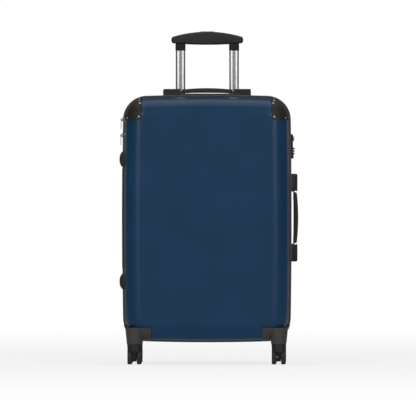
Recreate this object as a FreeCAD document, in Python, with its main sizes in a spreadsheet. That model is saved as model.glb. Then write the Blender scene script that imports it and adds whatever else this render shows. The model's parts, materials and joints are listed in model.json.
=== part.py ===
import FreeCAD, Part

import math
import os
import re

import Sketcher

# Hard shell suitcase on four twin-wheel casters, with a telescopic trolley handle.
# Millimetres. +X is to the right as the case is seen from its front, -Y is the front, +Z is up.
# The origin is on the floor, under the parting plane of the two shells, midway between the side walls.
# The rear half carries the trolley, the carry handles and the lock. The front half is the lid, which
# opens about a fabric hinge along the left side.

doc = FreeCAD.newDocument("suitcase")
Vector = FreeCAD.Vector
Rotation = FreeCAD.Rotation

# ---------------------------------------------------------------- driving dimensions

DIMENSIONS = {
    # shells: outline at the parting plane, and what shapes it
    "case_width": 409.5,
    "case_height": 601.5,
    "case_base": 56,
    "half_depth": 127,
    "crown_side": 3,
    "crown_top": 4.5,
    "corner_radius": 52,
    "front_edge_radius": 40,
    "rear_edge_radius": 24,
    "wall": 2.5,
    "draft": 3,
    # grooves in the back
    "groove_width": 5,
    "groove_depth": 1.1,
    "groove_pitch": 30,
    "groove_low": 118,
    "groove_tall": 470,
    # zip tapes between the rims
    "zip_half": 7,
    "band_out": 3.5,
    "band_in": 3.5,
    "body_gap": 0.15,
    "hinge_low": 235,
    "hinge_high": 480,
    "hinge_proud": 0.9,
    "hinge_half": 10,
    # linings
    "lining_gap": 0.5,
    "lining_thick": 1.2,
    # corner guards and their rivets
    "guard_thick": 1.8,
    "guard_inner_x": 160,
    "guard_low": 600,
    "guard_rim_y": 11,
    "rivet_radius": 2.7,
    # wheel housings
    "housing_thick": 3,
    "housing_inner_x": 136.5,
    "housing_high": 90.5,
    "bumper_thick": 4.2,
    "bumper_depth": 30,
    "bumper_high": 96,
    "bumper_low": 76,
    "tower_radius": 18.5,
    "tower_top_radius": 22.5,
    "tower_low": 50.2,
    "tower_high": 90.5,
    # casters
    "caster_x": 177,
    "caster_y": 104,
    "trail": 14,
    "wheel_radius": 22.5,
    "wheel_width": 11.5,
    "wheel_centre": 11.45,
    "hub_radius": 16,
    "axle_radius": 2.5,
    "kingpin_radius": 4,
    "running_gap": 0.06,
    "fork_radius": 17.8,
    "fork_top": 49.8,
    "fork_plate": 4.2,
    "web_thick": 10.2,
    "web_notch_radius": 5.2,
    "web_notch_z": 19,
    "nose_low": 28,
    "fender_gap": 1.5,
    "boss_radius": 15.5,
    # trolley
    "trolley_x": 66,
    "trolley_y": 96,
    "tube_wall": 1,
    "tube_gap": 0.5,
    "inner_tube_width": 23.5,
    "inner_tube_depth": 13,
    "tube_corner": 5,
    "inner_tube_low": 380,
    "inner_tube_high": 786,
    "middle_tube_low": 150,
    "outer_tube_low": 74,
    "tub_width": 190,
    "tub_depth": 32,
    "tub_wall": 2.4,
    "tub_top": 658.5,
    "tub_drop": 40,
    "tub_flange": 4,
    "grip_width": 177,
    "grip_depth": 24,
    "grip_top": 816,
    "grip_end_high": 803,
    "grip_end_low": 787.5,
    "grip_bottom": 783.5,
    "collar_low": 769.5,
    "collar_wall": 0.7,
    "button_width": 34,
    "button_depth": 10,
    "rod_radius": 2,
    # carry handles: heights are above the shell's wall
    "handle_y": 30,
    "handle_z": 358.6,
    "handle_span": 86,
    "bracket_length": 44,
    "bracket_width": 23,
    "bracket_high": 19,
    "slot_width": 18.6,
    "slot_low": 8,
    "slot_high": 16.4,
    "strap_thick": 3.6,
    "strap_width": 17.6,
    "handle_crown": 20.9,
    # lock
    "lock_z": 534,
    "lock_tall": 60,
    "lock_wide": 27,
    "lock_face": 211.5,
    "dial_radius": 7.5,
    "dial_thick": 4.4,
    "dial_x": 208,
    "dial_pitch": 5.9,
    "dial_mid_z": 522.6,
    "dial_pin": 1.5,
    "key_radius": 3.6,
    "key_z": 509,
    # side feet
    "foot_x": 214.1,
    "foot_centre_x": 200.4,
    "foot_bulge": 14.3,
    "foot_tall": 43.4,
    "foot_deep": 56,
    "foot_high_z": 502.7,
    "foot_low_z": 203,
    "foot_y": 52,
}

dims = doc.addObject("Spreadsheet::Sheet", "dims")
for row, (alias, number) in enumerate(DIMENSIONS.items(), start=1):
    dims.set(f"A{row}", alias)
    dims.set(f"B{row}", str(number))
    dims.setAlias(f"B{row}", alias)
doc.recompute()

# ---------------------------------------------------------------- helpers


def link(text):
    """An expression with the sheet's name put before each of its aliases."""
    return re.sub(r"[a-z_]+", lambda m: f"dims.{m[0]}" if m[0] in DIMENSIONS else m[0], str(text))


def value(text):
    """The number that an expression over the sheet's cells gives."""
    return float(dims.evalExpression(link(text)))


def bind(thing, **paths):
    """Binds properties to expressions; two underscores in a name stand for a full stop."""
    for path, text in paths.items():
        thing.setExpression(path.replace("__", "."), link(text))


def place(thing, x=0, y=0, z=0, rotation=None):
    """Puts a thing at a point given by three expressions."""
    if rotation is not None:
        thing.Placement = FreeCAD.Placement(Vector(0, 0, 0), rotation)
    bind(thing, Placement__Base__x=x, Placement__Base__y=y, Placement__Base__z=z)
    return thing


def named(kind, label):
    """A new document object with that label."""
    thing = doc.addObject(kind, label)
    thing.Label = label
    return thing


def block(label, low, size):
    """A box from its lowest corner and its three sides, all expressions."""
    box = named("Part::Box", label)
    bind(box, Length=size[0], Width=size[1], Height=size[2])
    return place(box, *low)


AXIS = {
    "x": Rotation(Vector(0, 1, 0), 90),
    "y": Rotation(Vector(1, 0, 0), -90),
    "z": Rotation(),
}


def round_bar(label, start, radius, length, axis="z"):
    """A cylinder from its start point along +X, +Y or +Z."""
    bar = named("Part::Cylinder", label)
    bind(bar, Radius=radius, Height=length)
    return place(bar, *start, rotation=AXIS[axis])


def cut(label, base, tool):
    result = named("Part::Cut", label)
    result.Base, result.Tool = base, tool
    return result


def common(label, base, tool):
    result = named("Part::Common", label)
    result.Base, result.Tool = base, tool
    return result


def fuse(label, *pieces):
    result = named("Part::MultiFuse", label)
    result.Shapes = list(pieces)
    return result


def group(label, *pieces):
    """Separate solids kept together in one sub-part."""
    result = named("Part::Compound", label)
    result.Links = list(pieces)
    return result


def copy(label, source, x=0, y=0, z=0, rotation=None):
    """The same solid again, at another place."""
    return place(group(label, source), x, y, z, rotation)


def mirror(label, source, normal=(1, 0, 0)):
    """The same solid on the other side of the plane through the origin."""
    result = named("Part::Mirroring", label)
    result.Source = source
    result.Normal = Vector(*normal)
    return result


def sketch_on(body, role, name):
    """A sketch on one of a body's own origin planes."""
    sketch = body.newObject("Sketcher::SketchObject", name)
    origin_plane = [f for f in body.Origin.OriginFeatures if f.Role == role][0]
    sketch.AttachmentSupport = [(origin_plane, "")]
    sketch.MapMode = "FlatFace"
    return sketch


def constrain(sketch, kind, *where, name, size):
    """A dimension of a sketch, bound to an expression."""
    index = sketch.addConstraint(Sketcher.Constraint(kind, *where, value(size)))
    sketch.renameConstraint(index, name)
    sketch.setExpression(f"Constraints.{name}", link(size))


def arc_between(start, end, radius):
    """The arc that bulges to the right of the line from start to end."""
    across, along = end[0] - start[0], end[1] - start[1]
    chord = math.hypot(across, along)
    inset = math.sqrt(radius**2 - chord**2 / 4)
    x = (start[0] + end[0]) / 2 - along / chord * inset
    y = (start[1] + end[1]) / 2 + across / chord * inset
    first = math.atan2(start[1] - y, start[0] - x)
    last = math.atan2(end[1] - y, end[0] - x)
    if last < first:
        last += 2 * math.pi
    return Part.ArcOfCircle(Part.Circle(Vector(x, y, 0), Vector(0, 0, 1), radius), first, last)


def four_corner_sketch(body, role, name, width, height, side_radius=None, end_radius=None):
    """A rectangle about the origin; its sides are arcs where a radius is given."""
    sketch = sketch_on(body, role, name)
    a, b = value(width) / 2, value(height) / 2
    corners = [(-a, -b), (a, -b), (a, b), (-a, b)]
    radii = (end_radius, side_radius, end_radius, side_radius)
    for i, radius in enumerate(radii):
        start, end = corners[i], corners[(i + 1) % 4]
        if radius is None:
            sketch.addGeometry(Part.LineSegment(Vector(*start, 0), Vector(*end, 0)))
        else:
            sketch.addGeometry(arc_between(start, end, value(radius)))
    for i in range(4):
        sketch.addConstraint(Sketcher.Constraint("Coincident", i, 2, (i + 1) % 4, 1))
    sketch.addConstraint(Sketcher.Constraint("Symmetric", 0, 1, 0, 2, -2))
    sketch.addConstraint(Sketcher.Constraint("Symmetric", 2, 1, 2, 2, -2))
    sketch.addConstraint(Sketcher.Constraint("Symmetric", 0, 1, 2, 2, -1))
    for i, radius in enumerate(radii):
        if radius is not None:
            constrain(sketch, "Radius", i, name=f"bulge_{i}", size=radius)
    constrain(sketch, "DistanceX", 0, 1, 0, 2, name="across", size=width)
    constrain(sketch, "DistanceY", 1, 1, 1, 2, name="along", size=height)
    return sketch


def outline_sketch(body, grow):
    """The case's outline grown by an expression: four long, slightly crowned sides."""
    width = f"case_width - 2 * crown_side + 2 * ({grow})"
    height = f"case_height - 2 * crown_top + 2 * ({grow})"
    side_radius = f"(({height})^2 / 4 + crown_side^2) / (2 * crown_side)"
    end_radius = f"(({width})^2 / 4 + crown_top^2) / (2 * crown_top)"
    return four_corner_sketch(body, "XZ_Plane", "outline", width, height, side_radius, end_radius)


def pad(body, sketch, length, **options):
    feature = body.newObject("PartDesign::Pad", "pad")
    feature.Profile = sketch
    bind(feature, Length=length)
    for option, setting in options.items():
        setattr(feature, option, setting)
    doc.recompute()
    return feature


def fillet(body, feature, test, radius):
    """Rounds the edges of a feature whose bounding box passes a test."""
    edges = [f"Edge{i}" for i, e in enumerate(feature.Shape.Edges, 1) if test(e.BoundBox)]
    rounded = body.newObject("PartDesign::Fillet", "rounding")
    rounded.Base = (feature, edges)
    bind(rounded, Radius=radius)
    doc.recompute()
    return rounded


def bar(label, role, width, height, length, corner=None, edge=None, low_edge=False):
    """A rounded rectangular bar centred on its sketch plane's normal, from that plane outwards."""
    body = named("PartDesign::Body", label)
    sketch = four_corner_sketch(body, role, "section", width, height)
    feature = pad(body, sketch, length)
    axis = {"XY_Plane": "Z", "XZ_Plane": "Y", "YZ_Plane": "X"}[role]
    span, low = axis + "Length", axis + "Min"
    if corner is not None:
        feature = fillet(body, feature, lambda b: getattr(b, span) > value(length) / 2, corner)
    if edge is not None:
        # the sketch's own end of the bar is at zero
        ends = (lambda b: True) if low_edge else (lambda b: abs(getattr(b, low)) > value(length) / 2)
        feature = fillet(body, feature, lambda b: getattr(b, span) < 0.2 and ends(b), edge)
    return body


CASE_MIDDLE = "case_base + case_height / 2"
SIDES = {"front": -1, "rear": 1}


def case_form(label, side, grow, deep="0"):
    """One half of the case as a solid block, grown by an expression and ending "deep" short of its face."""
    body = named("PartDesign::Body", label)
    sketch = outline_sketch(body, grow)
    feature = pad(body, sketch, f"half_depth - zip_half + ({deep})", Reversed=side == "rear")
    feature.TaperAngle = -value("draft")
    bind(feature, TaperAngle="-draft")
    doc.recompute()
    feature = fillet(body, feature, lambda b: b.YLength > 50, f"corner_radius + ({grow})")
    feature = fillet(
        body, feature, lambda b: b.YLength < 0.2 and abs(b.YMin) > 50, f"{side}_edge_radius + ({grow})"
    )
    return place(body, 0, f"{SIDES[side]} * zip_half", CASE_MIDDLE)


def half_box(label, side, x, z, near, far="half_depth + 20"):
    """A box over x and z ranges, from near to far away from the parting plane on one side of it."""
    low_y = near if side == "rear" else f"-({far})"
    size = (f"{x[1]} - ({x[0]})", f"{far} - ({near})", f"{z[1]} - ({z[0]})")
    return block(label, (x[0], low_y, z[0]), size)


nodes = []


def keep(thing):
    """Marks a finished sub-part, which is written to a file of its own."""
    nodes.append(thing)
    return thing


# ---------------------------------------------------------------- shells

outer = {side: case_form(f"{side}_outer_form", side, "0") for side in SIDES}
inner = {side: case_form(f"{side}_inner_form", side, "-wall", "-wall") for side in SIDES}

# The front shell is a plain drawn tray.
keep(cut("front_shell", outer["front"], inner["front"]))

# The rear shell has vertical grooves in its back, an opening for the trolley tub in its top and one
# for the lock in its right wall.
groove_body = bar(
    "groove", "XZ_Plane", "groove_width", "groove_tall", "groove_depth + 5", "groove_width / 2.05"
)
GROOVES = 11
grooves = []
for i in range(GROOVES):
    shift = f"{i - GROOVES // 2} * groove_pitch"
    grooves.append(
        copy(f"groove_{i + 1}", groove_body, shift, "half_depth + 5", "groove_low + groove_tall / 2")
    )
tub_opening = block(
    "tub_opening",
    ("-tub_width / 2 - 0.3", "trolley_y - tub_depth / 2 - 0.3", "tub_top - 30"),
    ("tub_width + 0.6", "tub_depth + 0.6", "60"),
)
LOCK_BACK = "lock_face - 22"
lock_opening = block(
    "lock_opening",
    (LOCK_BACK + " - 5", "handle_y - 10.7", "lock_z - lock_tall / 2 + 2.7"),
    ("30", "21.4", "lock_tall - 5.4"),
)
rear_openings = fuse("rear_openings", *grooves, tub_opening, lock_opening)
keep(cut("rear_shell", cut("rear_tray", outer["rear"], inner["rear"]), rear_openings))

# ---------------------------------------------------------------- zip tapes and fabric hinge


def band_ring(label, side, out, into, thick, start):
    """A ring that follows the case's outline, on one side of the parting plane."""
    rings = []
    for name, grow in (("outside", out), ("inside", f"-({into})")):
        body = named("PartDesign::Body", f"{label}_{name}")
        feature = pad(body, outline_sketch(body, grow), thick, Reversed=side == "rear")
        fillet(body, feature, lambda b: b.YLength > 0.9 * value(thick), f"corner_radius + ({grow})")
        place(body, 0, f"{SIDES[side]} * ({start})", CASE_MIDDLE)
        rings.append(body)
    return cut(label, *rings)


tapes = {
    side: band_ring(f"{side}_tape_ring", side, "band_out", "band_in", "zip_half - body_gap", "body_gap")
    for side in SIDES
}
# On the lid's side the zip is set back a little where the sliders park, so the lid can swing past them.
parking = block(
    "slider_parking",
    ("-case_width / 2 - 20", "-zip_half - 1", "492"),
    ("20 + crown_side - 2.2", "zip_half + 1", "124"),
)
keep(copy("zip_tape_rear", tapes["rear"]))
keep(cut("zip_tape_front", tapes["front"], parking))

# The hinge is a strip of woven tape, sewn over both zip tapes along the left side.
hinge_over = {
    side: band_ring(f"{side}_hinge_over", side, "band_out + hinge_proud", "0", "hinge_half", "0")
    for side in SIDES
}
hinge_under = {
    side: band_ring(f"{side}_hinge_under", side, "band_out + 0.1", "1", "hinge_half", "0") for side in SIDES
}
hinge_parts = []
for side in SIDES:
    strip = cut(f"{side}_hinge_strip", hinge_over[side], hinge_under[side])
    window = half_box(
        f"{side}_hinge_window",
        side,
        ("-case_width / 2 - 10", "-case_width / 2 + 20"),
        ("hinge_low", "hinge_high"),
        "0",
    )
    hinge_parts.append(common(f"{side}_hinge_half", strip, window))
keep(fuse("hinge_tape", *hinge_parts))

# ---------------------------------------------------------------- linings

LINING_OUT = "-(wall + lining_gap)"
LINING_IN = "-(wall + lining_gap + lining_thick)"
lining_outer = {side: case_form(f"{side}_lining_outer", side, LINING_OUT, LINING_OUT) for side in SIDES}
lining_inner = {side: case_form(f"{side}_lining_inner", side, LINING_IN, LINING_IN) for side in SIDES}
keep(cut("lining_front", lining_outer["front"], lining_inner["front"]))

OUTER_TUBE_WIDTH = "inner_tube_width + 4 * (tube_wall + tube_gap)"
OUTER_TUBE_DEPTH = "inner_tube_depth + 4 * (tube_wall + tube_gap)"


def trolley_space(label, extra):
    """The room that the lining leaves for the tubes, the tub and the foot bar."""
    half = f"{OUTER_TUBE_WIDTH}) / 2 + 3 + {extra}"
    front = f"trolley_y - ({OUTER_TUBE_DEPTH}) / 2 - 3 - {extra}"
    ridges = [
        half_box(
            f"{label}_ridge_{i}",
            "rear",
            (f"{sign} * trolley_x - (({half})", f"{sign} * trolley_x + (({half})"),
            ("case_base - 20", "case_base + case_height + 20"),
            front,
        )
        for i, sign in enumerate((-1, 1))
    ]
    tub = half_box(
        f"{label}_tub",
        "rear",
        (f"-tub_width / 2 - 2 - {extra}", f"tub_width / 2 + 2 + {extra}"),
        (f"tub_top - tub_drop - 9 - {extra}", "case_base + case_height + 20"),
        f"trolley_y - tub_depth / 2 - 2 - {extra}",
    )
    foot_bar = half_box(
        f"{label}_foot",
        "rear",
        (f"-trolley_x - 24 - {extra}", f"trolley_x + 24 + {extra}"),
        ("case_base - 20", f"outer_tube_low + 16 + {extra}"),
        front,
    )
    return fuse(label, *ridges, tub, foot_bar)


lock_window = block(
    "lock_window",
    (LOCK_BACK + " - 5", "handle_y - 12", "lock_z - lock_tall / 2 + 1.5"),
    ("30", "24", "lock_tall - 3"),
)
lining_skin = cut("lining_rear_hollow", lining_inner["rear"], trolley_space("cover_outside", "lining_thick"))
lining_solid = cut("lining_rear_solid", lining_outer["rear"], trolley_space("cover_inside", "0"))
keep(cut("lining_rear", cut("lining_rear_tray", lining_solid, lining_skin), lock_window))

# An open-topped pocket is sewn to the lid's floor.
POCKET_FACE = "half_depth - wall - lining_gap - lining_thick"
keep(
    half_box(
        "lid_pocket", "front", ("-160", "160"), ("112", "372"), f"{POCKET_FACE} - 4", f"{POCKET_FACE} - 0.4"
    )
)

# ---------------------------------------------------------------- packing straps

STRAP_Y = 16
STRAP_THICK = 1.2
STRAP_WIDE = 25
BUCKLE_HALF = 29
STRAP_END = 196.7
straps = []
for sign in (-1, 1):
    legs = []
    for rise in (-1, 1):
        # each leg runs from the lining's side wall to the buckle
        start = Vector(sign * BUCKLE_HALF, STRAP_Y, value(CASE_MIDDLE))
        reach = value(f"case_width / 2 - wall - lining_gap - lining_thick - {STRAP_Y} * 0.0524") - 2.6
        end = Vector(sign * reach, STRAP_Y, start.z + rise * 150)
        run = end - start
        leg = named("Part::Box", f"strap_leg_{sign}_{rise}")
        leg.Length, leg.Width, leg.Height = run.Length, STRAP_THICK, STRAP_WIDE
        turn = Rotation(Vector(1, 0, 0), run)
        if sign < 0:
            turn = Rotation(Vector(0, 1, 0), -math.degrees(math.atan2(run.z, run.x)))
        leg.Placement = FreeCAD.Placement(start, turn) * FreeCAD.Placement(
            Vector(0, 0, -STRAP_WIDE / 2), Rotation()
        )
        legs.append(leg)
    both = fuse(f"strap_pair_{sign}", *legs)
    trim_from = 20 if sign > 0 else -STRAP_END
    trim = block(f"strap_trim_{sign}", (trim_from, 0, 60), (STRAP_END - 20, 40, 600))
    straps.append(common(f"strap_{sign}", both, trim))
keep(group("packing_straps", *straps))
buckle_body = bar("buckle_body", "XZ_Plane", "58", "34", "11", "8", "2.4", low_edge=True)
buckle_slot = block("buckle_slot", ("-32", f"{STRAP_Y} - 0.4", f"{CASE_MIDDLE} - 19"), ("64", "2", "38"))
buckle_placed = copy("buckle_placed", buckle_body, 0, f"{STRAP_Y} + 6", CASE_MIDDLE)
keep(cut("strap_buckle", buckle_placed, buckle_slot))

# ---------------------------------------------------------------- corner guards and rivets

GUARD_FORM = {side: case_form(f"{side}_guard_form", side, "guard_thick", "guard_thick") for side in SIDES}
for side in SIDES:
    corner = half_box(
        f"{side}_guard_corner",
        side,
        ("guard_inner_x", "case_width / 2 + 10"),
        ("guard_low", "case_base + case_height + 10"),
        "guard_rim_y",
    )
    patch = common(f"{side}_guard_patch", GUARD_FORM[side], corner)
    right = keep(cut(f"guard_{side}_right", patch, outer[side]))
    keep(mirror(f"guard_{side}_left", right))
doc.recompute()


def first_met(shape, start, direction):
    """The first point of a shape along a line from outside it, and the outward normal there."""
    inside = shape.common(Part.makeLine(start, start + direction * 400))
    spot = min((v.Point for v in inside.Vertexes), key=start.distanceToPoint)
    face = min(shape.Faces, key=lambda f: f.distToShape(Part.Vertex(spot))[0])
    normal = face.normalAt(*face.Surface.parameter(spot))
    return spot, (-normal if normal.dot(direction) > 0 else normal)


# Each guard is held by six dome rivets. They are set from the front (x, z), from above (x, y)
# and from the side (y, z).
RIVETS_FRONT = [(164, 641), (166.5, 607.7), (194.3, 604.7)]
RIVETS_TOP = [(166, 98), (166, 38)]
RIVETS_SIDE = [(38, 605.5)]
# a head is the cap of a larger sphere: the sphere's radius for each unit of the rivet's, the
# sine of the angle where the cap starts, and how deep the sphere's centre is sunk
RIVET_SPHERE = 1.35
RIVET_CAP_SINE = 0.72
RIVET_SUNK = 0.70
for side, sign in SIDES.items():
    lines = [(Vector(x, sign * 300, z), Vector(0, -sign, 0)) for x, z in RIVETS_FRONT]
    lines += [(Vector(x, sign * y, 900), Vector(0, 0, -1)) for x, y in RIVETS_TOP]
    lines += [(Vector(400, sign * y, z), Vector(-1, 0, 0)) for y, z in RIVETS_SIDE]
    heads = []
    for mirrored in (-1, 1):
        for i, (start, direction) in enumerate(lines):
            spot, normal = first_met(GUARD_FORM[side].Shape, start, direction)
            head = named("Part::Sphere", f"rivet_{side}_{'left' if mirrored < 0 else 'right'}_{i}")
            radius = value("rivet_radius") * RIVET_SPHERE
            head.Radius = radius
            head.Angle1 = math.degrees(math.asin(RIVET_CAP_SINE))
            centre = spot - normal * (radius * RIVET_SUNK)
            centre.x, normal.x = mirrored * centre.x, mirrored * normal.x
            head.Placement = FreeCAD.Placement(centre, Rotation(Vector(0, 0, 1), normal))
            heads.append(head)
    keep(cut(f"rivets_{side}", group(f"rivet_heads_{side}", *heads), GUARD_FORM[side]))

# ---------------------------------------------------------------- wheel housings

HOUSING_FORM = {
    side: case_form(f"{side}_housing_form", side, "housing_thick", "housing_thick") for side in SIDES
}
BUMPER_FORM = {side: case_form(f"{side}_bumper_form", side, "bumper_thick", "bumper_thick") for side in SIDES}
KINGPIN_TOP = "tower_low + 11"
for side, sign in SIDES.items():
    corner = half_box(
        f"{side}_housing_corner",
        side,
        ("housing_inner_x", "case_width / 2 + 10"),
        ("case_base - 10", "housing_high"),
        "guard_rim_y",
    )
    patch = common(f"{side}_housing_patch", HOUSING_FORM[side], corner)
    bumper_corner = half_box(
        f"{side}_bumper_corner",
        side,
        ("caster_x + 5", "case_width / 2 + 20"),
        ("bumper_low", "bumper_high"),
        "guard_rim_y",
        "guard_rim_y + bumper_depth",
    )
    bumper = common(f"{side}_bumper", BUMPER_FORM[side], bumper_corner)
    tower = named("Part::Cone", f"{side}_tower")
    bind(tower, Radius1="tower_radius", Radius2="tower_top_radius", Height="tower_high - tower_low")
    place(tower, "caster_x", f"{sign} * caster_y", "tower_low")
    # the cone may not stand out beyond the case's front
    limit = half_box(
        f"{side}_tower_limit",
        side,
        ("100", "case_width / 2 + 2"),
        ("tower_low", "tower_high"),
        "20",
        "half_depth + 2",
    )
    solid = fuse(f"{side}_housing_solid", patch, bumper, common(f"{side}_tower_part", tower, limit))
    pin_hole = round_bar(
        f"{side}_kingpin_hole",
        ("caster_x", f"{sign} * caster_y", "tower_low - 1"),
        "kingpin_radius + running_gap",
        f"{KINGPIN_TOP} - tower_low + 1.5",
    )
    carved = cut(f"{side}_housing_carved", solid, outer[side])
    right = keep(cut(f"housing_{side}_right", carved, pin_hole))
    keep(mirror(f"housing_{side}_left", right))

# ---------------------------------------------------------------- casters: prototypes about the swivel axis

AXLE_Z = "wheel_radius"

# fork: round top plate, a web between the wheels, and a rounded fender over their leading side
plate = round_bar("fork_plate_disc", (0, 0, "fork_top - fork_plate"), "fork_radius", "fork_plate")
web_half = "web_thick / 2"
boss = round_bar("fork_boss", (f"-{web_half}", "trail", AXLE_Z), "boss_radius", "web_thick", "x")
web_body = named("PartDesign::Body", "fork_web")
web_sketch = sketch_on(web_body, "YZ_Plane", "web_profile")
top_z, axle_z, trail = value("fork_top - fork_plate / 2"), value(AXLE_Z), value("trail")
boss_radius, nose_low = value("boss_radius"), value("nose_low")
web_points = [
    (-14, top_z),
    (-14, nose_low + 6),
    (-8, nose_low),
    (trail - 5, axle_z - boss_radius + 1.2),
    (trail + boss_radius, axle_z),
    (trail + boss_radius - 3, axle_z + 9),
    (14, top_z),
]
for i, start in enumerate(web_points):
    end = web_points[(i + 1) % len(web_points)]
    web_sketch.addGeometry(Part.LineSegment(Vector(*start, 0), Vector(*end, 0)))
    web_sketch.addConstraint(Sketcher.Constraint("Block", i))
for i in range(len(web_points)):
    web_sketch.addConstraint(Sketcher.Constraint("Coincident", i, 2, (i + 1) % len(web_points), 1))
pad(web_body, web_sketch, "web_thick", Midplane=True)

# the fender is a round column, cut to a half ellipse as seen from the front and hollowed over the wheels
column = round_bar(
    "fender_column", (0, 0, "nose_low"), "fork_radius", "fork_top - nose_low - 0.5 * fork_plate"
)
shield = named("Part::Cylinder", "fender_shield")
bind(shield, Radius="fork_radius", Height="2 * fork_radius")
place(shield, 0, "-fork_radius - 1", "fork_top - fork_plate / 2", rotation=AXIS["y"])
front_half = block(
    "fender_front",
    ("-fork_radius", "-fork_radius", "nose_low - 1"),
    ("2 * fork_radius", "fork_radius + 4", "40"),
)
fender_raw = common("fender_outline", common("fender_round", column, shield), front_half)
wheel_room = round_bar(
    "wheel_room",
    ("-fork_radius - 1", "trail", AXLE_Z),
    "wheel_radius + fender_gap",
    "2 * fork_radius + 2",
    "x",
)
# a notch in each side of the web leaves an X between the wheels, as seen from the front
web_notches = [
    round_bar(
        f"web_notch_{i}",
        (f"{way} * (web_notch_radius + 2.8)", "-30", "web_notch_z"),
        "web_notch_radius",
        "80",
        "y",
    )
    for i, way in enumerate((-1, 1))
]
web_cross = cut("web_cross", fuse("web_and_boss", boss, web_body), fuse("web_notches", *web_notches))
fork_solid = fuse("fork_solid", plate, web_cross, cut("fender", fender_raw, wheel_room))
axle_hole = round_bar("axle_hole", ("-20", "trail", AXLE_Z), "axle_radius", "40", "x")
kingpin_seat = round_bar(
    "kingpin_seat", (0, 0, "fork_top - fork_plate - 6"), "kingpin_radius", "fork_plate + 10"
)
fork = cut("fork_prototype", cut("fork_bored", fork_solid, axle_hole), kingpin_seat)

# steel: the kingpin is pressed into the fork and turns in the housing; the axle has a head at each end
kingpin = round_bar(
    "kingpin",
    (0, 0, "fork_top - fork_plate - 6"),
    "kingpin_radius",
    f"{KINGPIN_TOP} - fork_top + fork_plate + 6",
)
AXLE_HALF = "wheel_centre + wheel_width / 2 - 0.4"
axle_rod = round_bar(
    "axle_rod", (f"-({AXLE_HALF})", "trail", AXLE_Z), "axle_radius", f"2 * ({AXLE_HALF})", "x"
)
axle_heads = [
    round_bar(f"axle_head_{i}", (start, "trail", AXLE_Z), "axle_radius + 1.7", "1.2", "x")
    for i, start in enumerate((f"-({AXLE_HALF})", f"{AXLE_HALF} - 1.2"))
]
steel = group("caster_steel_prototype", kingpin, fuse("axle", axle_rod, *axle_heads))

# wheel: a hard hub with a soft tyre moulded on it; the axle's head lies in a recess of the hub
wheel_low = "-wheel_width / 2"
hub_disc = round_bar("hub_disc", (wheel_low, 0, 0), "hub_radius", "wheel_width", "x")
hub_bore = round_bar("hub_bore", (wheel_low, 0, 0), "axle_radius + running_gap", "wheel_width", "x")
head_recess = round_bar("head_recess", ("wheel_width / 2 - 2.4", 0, 0), "axle_radius + 2.4", "3", "x")
hub = cut("hub", cut("hub_bored", hub_disc, hub_bore), head_recess)
tyre_disc = round_bar("tyre_disc", (wheel_low, 0, 0), "wheel_radius", "wheel_width", "x")
tyre_round = named("Part::Fillet", "tyre_round")
tyre_round.Base = tyre_disc
doc.recompute()
rims = [
    i for i, e in enumerate(tyre_disc.Shape.Edges, 1) if e.BoundBox.XLength < 1e-3 and len(e.Vertexes) == 1
]
tyre_round.Edges = [(i, 2.6, 2.6) for i in rims]
tyre = cut("tyre", tyre_round, round_bar("tyre_hole", (wheel_low, 0, 0), "hub_radius", "wheel_width", "x"))
wheel = group("wheel_prototype", hub, tyre)
OUTWARD = {"left": Rotation(Vector(0, 0, 1), 180), "right": Rotation()}

for side, sign in SIDES.items():
    for hand, mirrored in (("left", -1), ("right", 1)):
        at = (f"{mirrored} * caster_x", f"{sign} * caster_y")
        keep(copy(f"fork_{side}_{hand}", fork, *at))
        keep(copy(f"caster_steel_{side}_{hand}", steel, *at))
        for lane, way in (("left", -1), ("right", 1)):
            centre = (f"{at[0]} + {way} * wheel_centre", f"{at[1]} + trail", AXLE_Z)
            keep(copy(f"wheel_{side}_{hand}_{lane}", wheel, *centre, rotation=OUTWARD[lane]))

# ---------------------------------------------------------------- trolley


def tube(label, width, depth, corner, low, high):
    """A thin-walled oval tube on the trolley's right side."""
    outside = bar(f"{label}_outside", "XY_Plane", width, depth, f"{high} - ({low})", corner)
    inside = bar(
        f"{label}_inside",
        "XY_Plane",
        f"{width} - 2 * tube_wall",
        f"{depth} - 2 * tube_wall",
        f"{high} - ({low})",
        f"{corner} - tube_wall",
    )
    return place(copy(label, cut(f"{label}_section", outside, inside)), "trolley_x", "trolley_y", low)


def pair(label, source):
    """A right-hand solid and its mirror image in one sub-part."""
    return group(label, source, mirror(f"{label}_left", source))


TUB_FLOOR = "tub_top - tub_drop"
STEP = "2 * (tube_wall + tube_gap)"
inner_size = ("inner_tube_width", "inner_tube_depth", "tube_corner")
middle_size = (
    f"inner_tube_width + {STEP}", f"inner_tube_depth + {STEP}", "tube_corner + tube_wall + tube_gap"
)
outer_size = (OUTER_TUBE_WIDTH, OUTER_TUBE_DEPTH, "tube_corner + 2 * (tube_wall + tube_gap)")
keep(pair("trolley_inner_tubes", tube("inner_tube", *inner_size, "inner_tube_low", "inner_tube_high")))
keep(pair("trolley_middle_tubes", tube("middle_tube", *middle_size, "middle_tube_low", TUB_FLOOR)))
keep(
    pair(
        "trolley_outer_tubes", tube("outer_tube", *outer_size, "outer_tube_low", f"{TUB_FLOOR} - tub_wall")
    ),
)

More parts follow.
